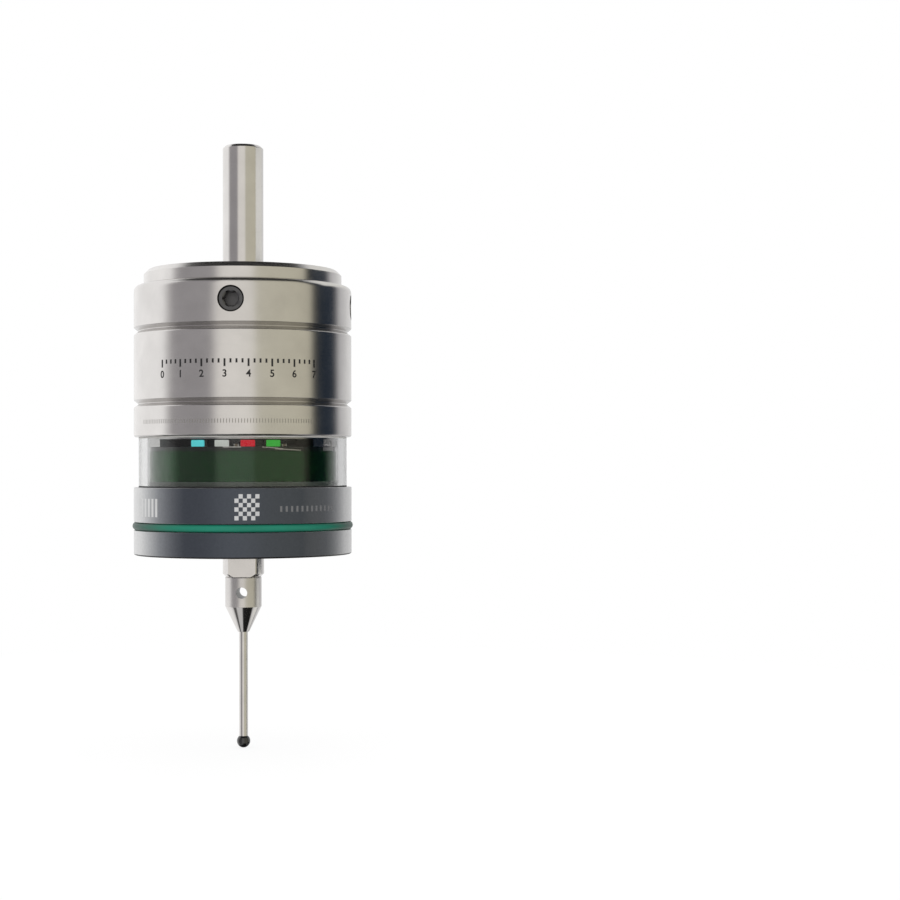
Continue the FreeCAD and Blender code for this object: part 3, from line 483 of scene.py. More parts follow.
# Surfaces worked out on grids
def rounded_outline(corners, radii, steps=6):
    """Outline with each corner replaced by an arc that touches both of its sides.

    With unit vectors u and v from the corner to its neighbours and half the angle between them h,
    the arc's centre lies on their bisector at radius / sin(h), and it touches the sides at
    radius / tan(h). Two more points a little further out keep the flats flat in shading."""
    corners = np.asarray(corners, float)
    radii = np.asarray(radii, float)[:, None]
    u = np.roll(corners, 1, axis=0) - corners
    v = np.roll(corners, -1, axis=0) - corners
    u_length = np.linalg.norm(u, axis=1, keepdims=True)
    v_length = np.linalg.norm(v, axis=1, keepdims=True)
    u = u / u_length
    v = v / v_length
    half = np.arccos(np.clip((u * v).sum(1, keepdims=True), -1, 1)) / 2
    reach = radii / np.tan(half)
    bisector = (u + v) / np.linalg.norm(u + v, axis=1, keepdims=True)
    centre = corners + bisector * radii / np.sin(half)
    first = corners + u * reach - centre
    last = corners + v * reach - centre
    sweep = math.pi - 2 * half
    t = np.linspace(0, 1, steps + 1)[None, :, None]
    sweep = sweep[:, None, :]
    arc = np.sin((1 - t) * sweep) * first[:, None, :] + np.sin(t * sweep) * last[:, None, :]
    arc = centre[:, None, :] + arc / np.sin(sweep)
    hold = np.minimum(0.06, np.minimum(u_length, v_length) * 0.2)
    before = (corners + u * (reach + hold))[:, None, :]
    after = (corners + v * (reach + hold))[:, None, :]
    return np.concatenate([before, arc, after], axis=1).reshape(-1, 2)


def grid_faces(rows, columns, wrap_rows, wrap_columns):
    """Four-sided faces of a grid of points, closed in either direction if asked."""
    row = np.arange(rows if wrap_rows else rows - 1)
    column = np.arange(columns if wrap_columns else columns - 1)
    row, column = np.meshgrid(row, column, indexing="ij")
    next_row = (row + 1) % rows
    next_column = (column + 1) % columns
    corners = [row * columns + column, row * columns + next_column,
               next_row * columns + next_column, next_row * columns + column]
    return np.stack(corners, axis=-1).reshape(-1, 4)


def make_piece(name, shells, body, finish, replaces=(), sharp=34.0):
    """One mesh object from shells of (points in millimetres, faces), merged and turned outwards."""
    mesh = bpy.data.meshes.new(name)
    points = []
    faces = []
    count = 0
    for shell_points, shell_faces in shells:
        points.append(np.asarray(shell_points, float).reshape(-1, 3) * MM)
        faces.append(np.asarray(shell_faces) + count)
        count += len(points[-1])
    mesh.from_pydata(np.concatenate(points), [], np.concatenate(faces))
    work = bmesh.new()
    work.from_mesh(mesh)
    bmesh.ops.remove_doubles(work, verts=work.verts, dist=2e-7)
    bmesh.ops.dissolve_degenerate(work, edges=work.edges, dist=1e-7)
    bmesh.ops.recalc_face_normals(work, faces=work.faces)
    work.to_mesh(mesh)
    work.free()
    mesh.shade_smooth()
    mesh.set_sharp_from_angle(angle=math.radians(sharp))
    mesh.materials.append(FINISHES[finish])
    piece = bpy.data.objects.new(name, mesh)
    bpy.context.collection.objects.link(piece)
    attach(piece, body)
    if replaces:
        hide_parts(*replaces)
    return piece


def turned_shell(corners, radii, columns=FINE, steps=6):
    """Ring or solid of revolution: (r cos a, r sin a, z) for each outline point (r, z)."""
    outline = rounded_outline(corners, radii, steps)
    radius = np.maximum(outline[:, 0], 0.0)[:, None]
    height = outline[:, 1][:, None]
    angle = np.linspace(0, FULL_TURN, columns, endpoint=False)[None, :]
    points = np.stack([radius * np.cos(angle), radius * np.sin(angle),
                       np.broadcast_to(height, (len(outline), columns))], axis=-1)
    return points, grid_faces(len(outline), columns, True, True)


def moved(shell, origin, outward):
    """Shell whose own Z axis is laid along outward, a level direction, and whose own Y axis
    points up."""
    points, faces = shell
    z_axis = np.asarray(outward, float)
    z_axis = z_axis / np.linalg.norm(z_axis)
    x_axis = np.cross((0, 0, 1), z_axis)
    x_axis = x_axis / np.linalg.norm(x_axis)
    y_axis = np.cross(z_axis, x_axis)
    axes = np.stack([x_axis, y_axis, z_axis])
    return points @ axes + np.asarray(origin, float), faces


def direction(angle):
    """Level unit vector at an angle in degrees from the X axis."""
    return np.array([math.cos(math.radians(angle)), math.sin(math.radians(angle)), 0])


def shifted(shell, offset):
    """Shell moved by an offset."""
    points, faces = shell
    return points + offset, faces


def hexagon_radius(across_flats, angle):
    """Distance from a hexagon's centre to its side: half its width over the cosine of the angle
    from the nearest side's middle."""
    sixth = math.pi / 3
    from_middle = np.mod(angle, sixth) - sixth / 2
    return across_flats / 2 / np.cos(from_middle)


def socket_shell(outline, hexagonal, across_flats, columns=96):
    """Turned shell whose marked outline points follow a hexagon in place of a circle."""
    outline = np.asarray(outline, float)
    hexagonal = np.asarray(hexagonal, bool)[:, None]
    angle = np.linspace(0, FULL_TURN, columns, endpoint=False)[None, :]
    radius = np.where(hexagonal, hexagon_radius(across_flats, angle) + outline[:, :1],
                      np.broadcast_to(outline[:, :1], (len(outline), columns)))
    height = np.broadcast_to(outline[:, 1:], (len(outline), columns))
    points = np.stack([radius * np.cos(angle), radius * np.sin(angle), height], axis=-1)
    return points, grid_faces(len(outline), columns, False, True)


def block_shell(half_sizes, power=8.0, rows=24, columns=48):
    """Block with soft edges, a superellipsoid: each coordinate is its half size times the sine or
    cosine product with its size raised to 2 / power and its sign kept."""
    lift = np.linspace(-math.pi / 2, math.pi / 2, rows)[:, None]
    round_angle = np.linspace(0, FULL_TURN, columns, endpoint=False)[None, :]

    def soft(value):
        return np.sign(value) * np.abs(value) ** (2.0 / power)

    level = soft(np.cos(lift))
    x = half_sizes[0] * level * soft(np.cos(round_angle))
    y = half_sizes[1] * level * soft(np.sin(round_angle))
    z = half_sizes[2] * np.broadcast_to(soft(np.sin(lift)), x.shape)
    return np.stack([x, y, z], axis=-1), grid_faces(rows, columns, False, True)


def band_shell(radius, low_angle, high_angle, low, high, thickness=0.012, drop=0.0):
    """Thin printed patch on a cylinder between two angles from the front, and two heights, which
    both fall evenly by the drop from its first angle to its last."""
    count = max(2, int(abs(high_angle - low_angle) / 1.5) + 2)
    angle = np.radians(np.linspace(low_angle, high_angle, count))[None, :]
    radii = np.array([radius, radius + thickness, radius + thickness, radius])[:, None]
    height = np.array([low, low, high, high])[:, None] - np.linspace(0, drop, count)[None, :]
    points = np.stack([radii * np.sin(angle), -radii * np.cos(angle), height], axis=-1)
    faces = grid_faces(4, count, True, False)
    ends = np.array([[3 * count, 2 * count, count, 0],
                     [count - 1, 2 * count - 1, 3 * count - 1, 4 * count - 1]])
    return points, np.concatenate([faces, ends])


def box_shell(low, high):
    """Plain box between two corners, for cutters."""
    sides = [np.array([first, last]) for first, last in zip(low, high)]
    x, y, z = np.meshgrid(*sides, indexing="ij")
    points = np.stack([x, y, z], axis=-1).reshape(-1, 3)
    faces = np.array([[0, 1, 3, 2], [4, 6, 7, 5], [0, 4, 5, 1], [2, 3, 7, 6], [0, 2, 6, 4],
                      [1, 5, 7, 3]])
    return points, faces


def cut_with(piece, cutters):
    """Take cutters away from a piece for good."""
    for cutter in cutters:
        modifier = piece.modifiers.new("hole", "BOOLEAN")
        modifier.operation = "DIFFERENCE"
        modifier.solver = "EXACT"
        modifier.object = cutter
    graph = bpy.context.evaluated_depsgraph_get()
    mesh = bpy.data.meshes.new_from_object(piece.evaluated_get(graph))
    piece.modifiers.clear()
    old = piece.data
    piece.data = mesh
    bpy.data.meshes.remove(old)
    piece.data.shade_smooth()
    piece.data.set_sharp_from_angle(angle=math.radians(34))
    for cutter in cutters:
        bpy.data.objects.remove(cutter)


def cutter_from(name, shell):
    """Helper object that cut_with takes away and removes."""
    points, faces = shell
    mesh = bpy.data.meshes.new(name)
    mesh.from_pydata(points.reshape(-1, 3) * MM, [], faces)
    work = bmesh.new()
    work.from_mesh(mesh)
    bmesh.ops.remove_doubles(work, verts=work.verts, dist=2e-7)
    bmesh.ops.recalc_face_normals(work, faces=work.faces)
    work.to_mesh(mesh)
    work.free()
    helper = bpy.data.objects.new(name, mesh)
    bpy.context.collection.objects.link(helper)
    return helper


def rod_shell(radius, low, high):
    """Plain solid rod along Z, for cutters."""
    corners = [(0, low), (radius, low), (radius, high), (0, high)]
    return turned_shell(corners, [0, 0, 0, 0], SMALL, 1)


FINISHES = make_materials()


# Shank, top plate and their screws
def make_shank():
    corners = [(0, SPIGOT_BOTTOM), (2.5, SPIGOT_BOTTOM), (2.5, 0.0), (3.0, 0.0),
               (3.0, SHANK_TOP - 0.4), (2.6, SHANK_TOP), (0, SHANK_TOP)]
    shell = turned_shell(corners, [0, 0.1, 0, 0.05, 0.12, 0.12, 0], MEDIUM)
    make_piece("shank_pin", [shell], "housing", "ground_steel", replaces=("shank",))


FLANGE_SCREW_ANGLES = (45, 135, 225, 315)
FLANGE_SCREW_PLACE = 11.9


def make_top_plate():
    corners = [(2.52, SPIGOT_BOTTOM), (9.7, SPIGOT_BOTTOM), (9.7, BODY_TOP), (14.55, BODY_TOP),
               (14.55, -0.7), (13.85, 0.0), (2.52, 0.0)]
    radii = [0.1, 0.3, 0.1, 0.12, 0.1, 0.1, 0.1]
    plate = make_piece("top_flange", [turned_shell(corners, radii)], "housing", "turned_steel",
                       replaces=("top_plate",))
    outline = [(0, -3.0), (1.2, -3.0), (1.2, -1.1), (1.94, 0.0), (1.94, 0.5), (0, 0.5)]
    sink = turned_shell(outline, [0] * 6, SMALL, 1)
    cutters = []
    for number, angle in enumerate(FLANGE_SCREW_ANGLES):
        place = direction(angle) * FLANGE_SCREW_PLACE
        cutters.append(cutter_from(f"sink_{number}", shifted(sink, place)))
    cut_with(plate, cutters)


def make_flange_screws():
    """Countersunk screws: the head's rim, then the socket's hexagon, then the shaft."""
    outline = [(0, -0.8), (0, -0.8), (0.0, -0.05), (0.86, 0.0), (1.82, 0.0), (1.9, -0.06),
               (1.0, -1.1), (1.0, -6.9), (0.9, -7.0), (0, -7.0)]
    marked = [False, True, True, False, False, False, False, False, False, False]
    screw = socket_shell(outline, marked, 1.3)
    shells = []
    for angle in FLANGE_SCREW_ANGLES:
        shells.append(shifted(screw, direction(angle) * FLANGE_SCREW_PLACE))
    make_piece("flange_screw_set", shells, "housing", "black_oxide", replaces=("flange_screws",))


# Steel body with its V grooves and the four radial screws
SET_SCREW_LEVEL = -5.4
SET_SCREW_ANGLES = (0, 90, 180, 270)
GROOVE_LEVELS = (-9.1, -19.75)


def make_steel_body():
    corners = [(10.1, BODY_TOP), (CASE_RADIUS, BODY_TOP)]
    radii = [0.1, 0.9]
    for level in GROOVE_LEVELS:
        corners += [(CASE_RADIUS, level + 0.55), (CASE_RADIUS - 0.7, level),
                    (CASE_RADIUS, level - 0.55)]
        radii += [0.06, 0.08, 0.3]
    corners += [(CASE_RADIUS, BODY_BOTTOM), (13.3, BODY_BOTTOM), (13.3, -12.4), (10.1, -12.4)]
    radii += [0.35, 0.1, 0.2, 0.1]
    body = make_piece("body_cup", [turned_shell(corners, radii)], "housing", "body_steel",
                      ("steel_body",))
    cutters = []
    for number, angle in enumerate(SET_SCREW_ANGLES):
        hole = moved(rod_shell(1.87, 9.0, 17.0), (0, 0, SET_SCREW_LEVEL), direction(angle))
        cutters.append(cutter_from(f"radial_{number}", hole))
    cut_with(body, cutters)


def make_set_screws():
    """Grub screws: a bevelled end face with a deep hexagon socket."""
    inner = 9.72
    outer = 15.72
    outline = [(0, outer - 2.2), (0, outer - 2.2), (0, outer - 0.12), (1.2, outer),
               (1.65, outer), (1.85, outer - 0.22), (1.85, inner + 0.4), (1.2, inner), (0, inner)]
    marked = [False, True, True, False, False, False, False, False, False]
    screw = socket_shell(outline, marked, 2.0)
    shells = []
    for angle in SET_SCREW_ANGLES:
        shells.append(moved(screw, (0, 0, SET_SCREW_LEVEL), direction(angle)))
    make_piece("set_screw_set", shells, "housing", "black_oxide", replaces=("set_screws",))


# Light ring with the recess for the lamps; angles in degrees from the front
RING_RADIUS = 13.9
RECESS_RADIUS = 10.9
RECESS_CENTRE = 0.8
RECESS_HALF = 49.75
RECESS_TOP = BOARD_TOP + 1.1
RECESS_STEPS = 101
SKIRT_STEPS = 208
SPANNER_SLOT_PLACES = (63.8, 243.8)


def make_light_ring():
    """Turned ring whose skirt steps back inside the recess; the columns at the recess's two ends
    are doubled, so that its side walls stand square. Two spanner slots open the skirt's edge."""
    half = math.radians(RECESS_HALF)
    front = math.radians(RECESS_CENTRE) - math.pi / 2
    inside = np.linspace(front - half, front + half, RECESS_STEPS)
    outside = np.linspace(front + half, front - half + FULL_TURN, SKIRT_STEPS)
    angle = np.concatenate([inside, outside])[None, :]
    stepped = np.concatenate([np.full(RECESS_STEPS, RECESS_RADIUS),
                              np.full(SKIRT_STEPS, RING_RADIUS)])[None, :]
    outline = [(6.6, BOARD_TOP), (0, BOARD_TOP), (0, RECESS_TOP), (RING_RADIUS, RECESS_TOP),
               (RING_RADIUS, BODY_BOTTOM - 0.08), (13.82, BODY_BOTTOM), (13.25, BODY_BOTTOM),
               (13.25, -20.6), (12.2, -20.6), (12.2, -23.7), (6.6, -23.7)]
    moving = np.array([False, True, True] + [False] * 8)[:, None]
    outline = np.array(outline)
    radius = np.where(moving, stepped, outline[:, :1])
    height = np.broadcast_to(outline[:, 1:], radius.shape)
    points = np.stack([radius * np.cos(angle), radius * np.sin(angle), height], axis=-1)
    faces = grid_faces(len(outline), angle.shape[1], True, True)
    ring = make_piece("lamp_ring", [(points, faces)], "housing", "ring_metal",
                      replaces=("light_ring",), sharp=25)
    cutters = []
    for number, place in enumerate(SPANNER_SLOT_PLACES):
        centre, outward = facing_place(place, 14.4, 0, BOARD_TOP)
        slot = moved(block_shell((0.975, 0.8, 1.5), 80.0), centre, outward)
        cutters.append(cutter_from(f"spanner_slot_{number}", slot))
    cut_with(ring, cutters)
    # Painted shade: the faces inside the lamp recess are made near black
    refinish(ring, "recess_painted_shade", (0, 13.85), (BOARD_TOP - 1, RECESS_TOP + 0.02))


def refinish(piece, finish, radii, levels):
    """Give the faces between two radii and two levels another finish."""
    mesh = piece.data
    mesh.materials.append(FINISHES[finish])
    centre = np.zeros(len(mesh.polygons) * 3)
    mesh.polygons.foreach_get("center", centre)
    centre = centre.reshape(-1, 3) / MM
    radius = np.hypot(centre[:, 0], centre[:, 1])
    level = centre[:, 2]
    chosen = (radius > radii[0]) & (radius < radii[1]) & (level > levels[0]) & (level < levels[1])
    index = np.zeros(len(mesh.polygons), int)
    mesh.polygons.foreach_get("material_index", index)
    index[chosen] = len(mesh.materials) - 1
    mesh.polygons.foreach_set("material_index", index)


# Lamps and the small chips beside them
LAMP_ANGLES = (-24.55, -7.65, 9.25, 26.15)
LAMP_NAMES = ("cyan", "white", "red", "green")
LAMP_FACE = 12.4


def facing_place(angle, radius, side, level):
    """Point and outward direction at an angle from the front, moved sideways along the edge."""
    outward = np.array([math.sin(math.radians(angle)), -math.cos(math.radians(angle)), 0])
    sideways = np.array([-outward[1], outward[0], 0])
    return outward * radius + sideways * side + np.array([0, 0, level]), outward


def make_lamps():
    for angle, colour in zip(LAMP_ANGLES, LAMP_NAMES):
        centre, outward = facing_place(angle, LAMP_FACE - 0.62, 0, BOARD_TOP + 0.475)
        case = moved(block_shell((0.96, 0.45, 0.5), 14.0), centre, outward)
        make_piece(f"lamp_case_{colour}", [case], "housing", "lamp_case",
                   replaces=(f"led_{colour}",))
        centre, outward = facing_place(angle, LAMP_FACE - 0.16, 0, BOARD_TOP + 0.475)
        lens = moved(block_shell((1.0, 0.475, 0.16), 12.0), centre, outward)
        make_piece(f"lamp_lens_{colour}", [lens], "housing", f"lamp_{colour}")


def make_chips():
    bodies = []
    ends = []
    reach = 1.0 + 0.25 + 0.35
    for lamp, side in ((2, -1), (3, 1)):
        centre, outward = facing_place(LAMP_ANGLES[lamp], LAMP_FACE - 0.25, reach * side,
                                       BOARD_TOP + 0.2)
        bodies.append(moved(block_shell((0.24, 0.19, 0.24), 12.0), centre, outward))
        for way in (-1, 1):
            centre, outward = facing_place(LAMP_ANGLES[lamp], LAMP_FACE - 0.25,
                                           reach * side + way * 0.27, BOARD_TOP + 0.2)
            ends.append(moved(block_shell((0.08, 0.2, 0.25), 12.0), centre, outward))
    make_piece("chip_bodies", bodies, "housing", "chip_ceramic", replaces=("board_chips",))
    make_piece("chip_ends", ends, "housing", "solder_tin")


# Board with tinned traces on its front edge
BOARD_RADIUS = 13.6


def make_board():
    corners = [(0, BOARD_BOTTOM), (BOARD_RADIUS, BOARD_BOTTOM), (BOARD_RADIUS, BOARD_TOP),
               (0, BOARD_TOP)]
    board = make_piece("round_board", [turned_shell(corners, [0, 0.03, 0.03, 0])], "housing",
                       "board_green", replaces=("main_board",))
    cutters = []
    for number, angle in enumerate((30, 150, 270)):
        hole = shifted(rod_shell(1.05, BOARD_BOTTOM - 0.5, BOARD_TOP + 0.5), direction(angle) * 9.0)
        cutters.append(cutter_from(f"board_hole_{number}", hole))
    cut_with(board, cutters)
    traces = []
    for first, last, level, drop in ((-5.6, 5.0, -0.06, 0.0), (17.4, 30.0, -0.06, 0.24),
                                     (25.0, 42.2, -0.31, 0.2)):
        middle = BOARD_TOP + level
        traces.append(band_shell(BOARD_RADIUS, first, last, middle - 0.08, middle + 0.06, 0.012,
                                 drop))
    traces.append(band_shell(BOARD_RADIUS, 61.0, 74.0, BOARD_BOTTOM + 0.05, BOARD_TOP - 0.05))
    make_piece("edge_traces", traces, "housing", "solder_tin")


# Window and gaskets
WINDOW_INNER = 14.05
WINDOW_OUTER = 15.3
GASKET = 0.2


def ring_piece(name, inner, outer, low, high, rounding, finish, replaces):
    """Ring of a rectangular section with its four edges rounded."""
    corners = [(inner, low), (outer, low), (outer, high), (inner, high)]
    shell = turned_shell(corners, [rounding] * 4, FINE, 4)
    return make_piece(name, [shell], "housing", finish, replaces)


def make_window():
    low = BASE_TOP + GASKET
    high = BODY_BOTTOM - GASKET
    ring_piece("clear_ring", WINDOW_INNER, WINDOW_OUTER, low, high, 0.03, "clear_window",
               ("window",))
    ring_piece("seal_above", WINDOW_INNER, WINDOW_OUTER, high, BODY_BOTTOM, 0.05, "gasket_pale",
               ("upper_gasket",))
    ring_piece("seal_below", WINDOW_INNER, WINDOW_OUTER, BASE_TOP, low, 0.05, "gasket_black",
               ("lower_gasket",))


# Green sensor housing
def make_sensor_housing():
    corners = [(0, -28.5), (10.95, -28.5), (10.95, HOUSING_BOTTOM), (12.9, HOUSING_BOTTOM),
               (12.9, BASE_TOP), (13.9, BASE_TOP), (13.9, -31.1), (13.7, -31.1),
               (13.7, BOARD_BOTTOM), (0, BOARD_BOTTOM)]
    radii = [0, 0.3, 0.1, 0.1, 0, 0.06, 0.06, 0.05, 0.12, 0]
    drum = make_piece("green_drum", [turned_shell(corners, radii)], "housing", "green_housing",
                      replaces=("sensor_housing",))
    refinish(drum, "flange_green", (13.72, 14.0), (BASE_TOP, -31.12))


# Base ring, its green seal and the cap
def make_base():
    """Base ring and cap, turned, and the seal: a circle of the section's radius carried round
    the axis."""
    ring_piece("dark_base", 12.95, CASE_RADIUS, BASE_BOTTOM, BASE_TOP, 0.08, "dark_anodised",
               ("base_ring",))
    angle = np.linspace(0, FULL_TURN, FINE, endpoint=False)[None, :]
    section = np.linspace(0, FULL_TURN, 40, endpoint=False)[:, None]
    radius = 15.6 + 0.59 * np.cos(section)
    points = np.stack([radius * np.cos(angle), radius * np.sin(angle),
                       np.broadcast_to(SEAL_LEVEL + 0.59 * np.sin(section), (40, FINE))], axis=-1)
    make_piece("round_seal", [(points, grid_faces(40, FINE, True, True))], "housing",
               "green_seal", replaces=("ring_seal",))
    corners = [(4.6, CAP_FLOOR), (4.6, CAP_BOTTOM + 0.8), (5.4, CAP_BOTTOM),
               (CASE_RADIUS, CAP_BOTTOM), (CASE_RADIUS, CAP_TOP), (15.0, CAP_TOP),
               (15.0, BASE_BOTTOM), (12.9, BASE_BOTTOM), (12.9, NECK_TOP), (11.5, NECK_TOP),
               (11.5, CAP_FLOOR)]
    radii = [0.08, 0.1, 0.1, 0.3, 0.12, 0.1, 0.1, 0.1, 0.1, 0.1, 0.2]
    cap = make_piece("dark_cap", [turned_shell(corners, radii)], "housing", "dark_anodised",
                     replaces=("bottom_cap",))
    # Painted shade: the cap's lower rounding, which faces down, is made near black
    refinish(cap, "lower_edge_shade", (CASE_RADIUS - 0.35, CASE_RADIUS),
             (CAP_BOTTOM - 0.1, CAP_BOTTOM + 0.2))


# Stylus: holder with two key flats, body with a cross hole and cone, stem and ball
HOLDER_RADIUS = 3.05
DUST_SEAL_BOTTOM = -39.95
STYLUS_RADIUS = 2.675
STEM_RADIUS = 0.65


def make_holder():
    """Turned collar with a block cut away at its front and back for the key flats."""
    corners = [(1.52, HOLDER_BOTTOM), (2.6, HOLDER_BOTTOM), (HOLDER_RADIUS, HOLDER_BOTTOM + 0.45),
               (HOLDER_RADIUS, DUST_SEAL_BOTTOM), (2.0, DUST_SEAL_BOTTOM), (2.0, -34.97),
               (0, -34.97), (0, -40.6), (1.52, -40.6)]
    radii = [0.05, 0.08, 0.1, 0.1, 0.05, 0.1, 0, 0, 0.05]
    collar = make_piece("holder_collar", [turned_shell(corners, radii, MEDIUM)], "stylus",
                        "ground_steel", replaces=("stylus_holder",))
    cutters = []
    for number, way in enumerate((-1, 1)):
        block = box_shell((-5.0, way * 4.3 - 2.0, HOLDER_BOTTOM - 1.5),
                          (5.0, way * 4.3 + 2.0, HOLDER_BOTTOM + 3.5))
        cutters.append(cutter_from(f"flat_{number}", block))
    cut_with(collar, cutters)


def make_stylus_body():
    """Turned body with a threaded end above, a cone below and a hole through it."""
    corners = [(0.67, CONE_BOTTOM), (0.85, CONE_BOTTOM), (STYLUS_RADIUS, CONE_TOP),
               (STYLUS_RADIUS, HOLDER_BOTTOM), (1.5, HOLDER_BOTTOM), (1.5, HOLDER_BOTTOM + 3.8),
               (0, HOLDER_BOTTOM + 3.8), (0, STEM_TOP), (0.67, STEM_TOP)]
    radii = [0.03, 0.06, 0.12, 0.15, 0.05, 0.15, 0, 0, 0.03]
    body = make_piece("stylus_shaft", [turned_shell(corners, radii, MEDIUM)], "stylus",
                      "matt_steel", ("stylus_base",))
    cross = moved(rod_shell(0.825, -4.0, 4.0), (0, 0, HOLDER_BOTTOM - 2.3), (0, 1, 0))
    cut_with(body, [cutter_from("cross_hole", cross)])
    refinish(body, "cone_steel", (0, 3), (CONE_BOTTOM, CONE_TOP - 0.05))
    # Painted shade: the walls of the cross hole are made dark
    refinish(body, "hole_painted_shade", (0, 2.66), (HOLDER_BOTTOM - 3.2, HOLDER_BOTTOM - 1.4))


def make_stem_and_tip():
    """Turned stem, and a ball: (cos p cos a, cos p sin a, sin p) for each pair of angles p, a."""
    shoulder = TIP_LEVEL + 1.0 - 0.3
    corners = [(0, shoulder - 0.6), (0.35, shoulder - 0.6), (0.35, shoulder),
               (STEM_RADIUS, shoulder), (STEM_RADIUS, STEM_TOP), (0, STEM_TOP)]
    radii = [0, 0.05, 0.03, 0.08, 0.08, 0]
    make_piece("stylus_rod", [turned_shell(corners, radii, SMALL)], "stylus", "ground_steel",
               replaces=("stylus_stem",))
    polar = np.linspace(-math.pi / 2, math.pi / 2, 49)[:, None]
    angle = np.linspace(0, FULL_TURN, 96, endpoint=False)[None, :]
    points = np.stack([np.cos(polar) * np.cos(angle), np.cos(polar) * np.sin(angle),
                       np.broadcast_to(TIP_LEVEL + np.sin(polar), (49, 96))], axis=-1)
    make_piece("ball_tip", [(points, grid_faces(49, 96, False, True))], "stylus", "tip_black",
               replaces=("stylus_tip",))


def make_dust_seal():
    top = DUST_SEAL_BOTTOM + 0.5
    corners = [(2.02, DUST_SEAL_BOTTOM), (5.5, DUST_SEAL_BOTTOM), (5.5, top), (2.02, top)]
    make_piece("stylus_seal", [turned_shell(corners, [0.05, 0.15, 0.15, 0.05], MEDIUM)], "stylus",
               "gasket_black", replaces=("dust_seal",))


# Generic printed marks: ticks with plain numbers, bars and a chequered square. The prints lie on
# the case and their angles are in degrees from the front
SCALE_FIRST = -39
SCALE_LAST = 45
SCALE_LEVEL = -13.8
SQUARE_CELLS = 6
CELL_WIDTH = 2.08
CELL_HEIGHT = 0.61


def number_shell(text, height, radius, angle, level):
    """Flat text laid on a cylinder: its width runs round the axis, its height up it."""
    curve = bpy.data.curves.new("digits", "FONT")
    curve.body = text
    curve.size = height / 0.7
    curve.align_x = "CENTER"
    curve.offset = height * 0.03
    holder = bpy.data.objects.new("digits", curve)
    bpy.context.collection.objects.link(holder)
    graph = bpy.context.evaluated_depsgraph_get()
    graph.update()
    mesh = bpy.data.meshes.new_from_object(holder.evaluated_get(graph))
    work = bmesh.new()
    work.from_mesh(mesh)
    bmesh.ops.triangulate(work, faces=work.faces)
    work.to_mesh(mesh)
    work.free()
    flat = np.zeros(len(mesh.vertices) * 3)
    mesh.vertices.foreach_get("co", flat)
    flat = flat.reshape(-1, 3)
    faces = np.zeros(len(mesh.polygons) * 3, int)
    mesh.polygons.foreach_get("vertices", faces)
    bpy.data.objects.remove(holder)
    around = math.radians(angle) + flat[:, 0] / radius
    points = np.stack([radius * np.sin(around), -radius * np.cos(around), level + flat[:, 1]],
                      axis=-1)
    return points, faces.reshape(-1, 3)


def make_marks():
    ticks = []
    for number, angle in enumerate(np.linspace(SCALE_FIRST, SCALE_LAST, 29)):
        tall = 1.1 if number % 4 == 0 else 0.6
        ticks.append(band_shell(CASE_RADIUS, angle - 0.5, angle + 0.5, SCALE_LEVEL - tall,
                                SCALE_LEVEL, 0.01))
    make_piece("scale_ticks", ticks, "housing", "print_black")
    numbers = []
    for number, angle in enumerate(np.linspace(SCALE_FIRST, SCALE_LAST, 8)):
        numbers.append(number_shell(str(number), 1.0, CASE_RADIUS + 0.01, angle, -16.35))
    make_piece("scale_numbers", numbers, "housing", "print_black")
    fine = []
    for angle in np.linspace(-56, 43, 67):
        fine.append(band_shell(CASE_RADIUS, angle - 0.22, angle + 0.22, -22.8, -22.2, 0.004))
    make_piece("fine_scale", fine, "housing", "etched")
    bars = []
    for angle in (-62.5, -58.6, -54.9, -51.4, -48.0, -44.8):
        bars.append(band_shell(CASE_RADIUS, angle, angle + 1.8, -36.1, -33.5, 0.006))
    for row in range(SQUARE_CELLS):
        for column in range(SQUARE_CELLS):
            if (row + column) % 2 == 0:
                left = 1.9 + column * CELL_WIDTH
                low = -36.45 + row * CELL_HEIGHT
                bars.append(band_shell(CASE_RADIUS, left, left + CELL_WIDTH, low,
                                       low + CELL_HEIGHT, 0.006))
    make_piece("base_marks", bars, "housing", "print_pale")
    faint = []
    for angle in np.linspace(25, 58, 12):
        faint.append(band_shell(CASE_RADIUS, angle, angle + 1.2, -35.3, -34.5, 0.006))
    make_piece("base_faint_marks", faint, "housing", "print_faint")


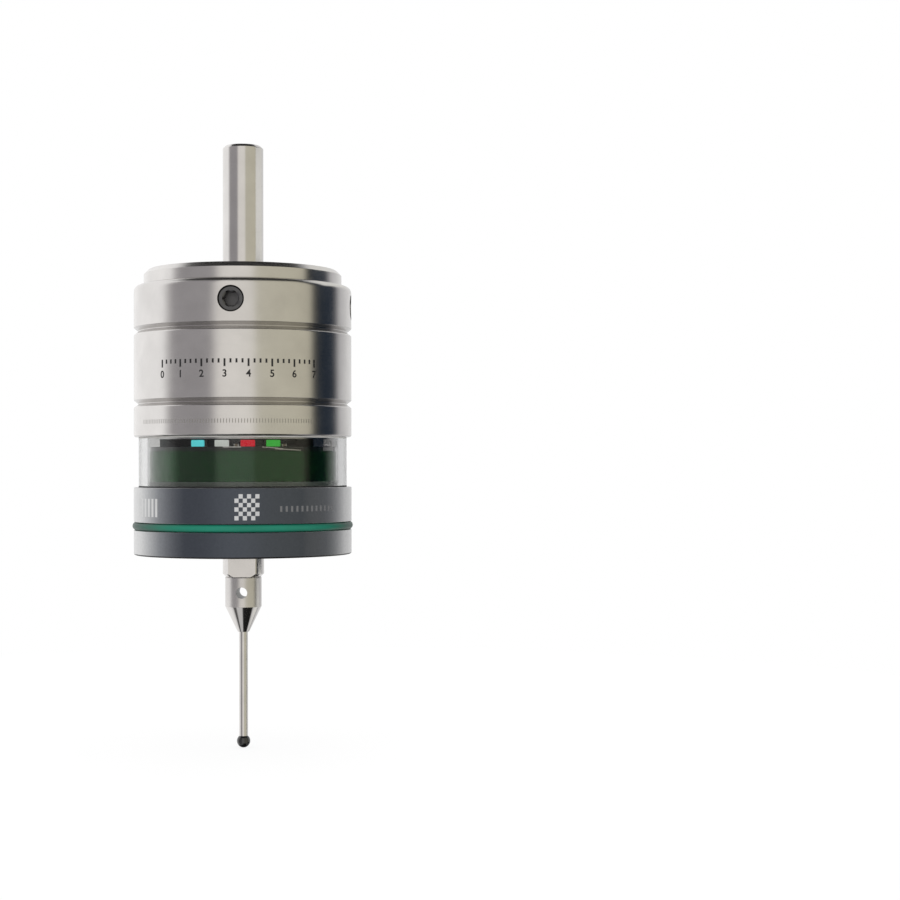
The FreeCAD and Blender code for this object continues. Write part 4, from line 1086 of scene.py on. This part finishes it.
# Finish of the inner nodes that keep their own shape
NODE_FINISHES = {
    "battery_tray": "tray_black",
    "battery_lower": "cell_can",
    "battery_upper": "cell_can",
    "battery_clip": "contact_gold",
    "radio_module": "shield_can",
    "stack_screws": "black_oxide",
    "contact_pins": "contact_gold",
    "seat_ring": "seat_insulator",
    "carrier": "carrier_metal",
    "spring": "spring_steel",
    "roller_1": "hard_steel",
    "roller_2": "hard_steel",
    "roller_3": "hard_steel",
    "roller_4": "hard_steel",
    "roller_5": "hard_steel",
    "roller_6": "hard_steel",
    "ball_1": "hard_steel",
    "ball_2": "hard_steel",
    "ball_3": "hard_steel",
}


def finish_nodes():
    for name, finish in NODE_FINISHES.items():
        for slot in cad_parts[name].material_slots:
            slot.material = FINISHES[finish]


# Pale floor under the tip; only its shadow is darker than the background
def make_floor():
    """Level disc: (r cos a, r sin a) at the tip's lowest point."""
    mesh = bpy.data.meshes.new("floor")
    radius = np.linspace(0, 150, 12)[:, None]
    angle = np.linspace(0, FULL_TURN, 96, endpoint=False)[None, :]
    points = np.stack([radius * np.cos(angle), radius * np.sin(angle),
                       np.full((12, 96), TIP_LEVEL - 1.0)], axis=-1)
    mesh.from_pydata(points.reshape(-1, 3) * MM, [], grid_faces(12, 96, False, True))
    floor = bpy.data.objects.new("floor", mesh)
    bpy.context.collection.objects.link(floor)
    material, graph, shader, place = start_material("pale_floor")
    output = graph.tree.nodes["Material Output"]
    grain = noise(graph, place, 40.0)
    graph.feed(shader, "Base Color", graph.ramp(grain, ((0.3, (0.90,) * 3), (0.7, (0.93,) * 3))))
    graph.feed(shader, "Roughness", 0.9)
    light_path = graph.add("ShaderNodeLightPath").outputs["Is Camera Ray"]
    glow = graph.add("ShaderNodeEmission", Color=(1.0, 1.0, 1.0, 1.0), Strength=1.06)
    share = graph.sum("MULTIPLY", light_path, 0.8)
    mixed = graph.add("ShaderNodeMixShader", n0=share, n1=shader.outputs[0], n2=glow.outputs[0])
    graph.feed(output, "Surface", mixed.outputs[0])
    mesh.materials.append(material)
    floor.visible_glossy = False


bpy.context.scene.view_settings.view_transform = "Standard"
make_camera()
make_studio()
make_card("shank_card", 106, 25.0, 13.0, 3.0, 24.0)
make_card("stylus_card", 106, 30.0, 7.2, -78.0, -45.5)
make_shank()
make_top_plate()
make_flange_screws()
make_steel_body()
make_set_screws()
make_light_ring()
make_lamps()
make_chips()
make_board()
make_window()
make_sensor_housing()
make_base()
make_holder()
make_stylus_body()
make_stem_and_tip()
make_dust_seal()
make_marks()
finish_nodes()
make_floor()
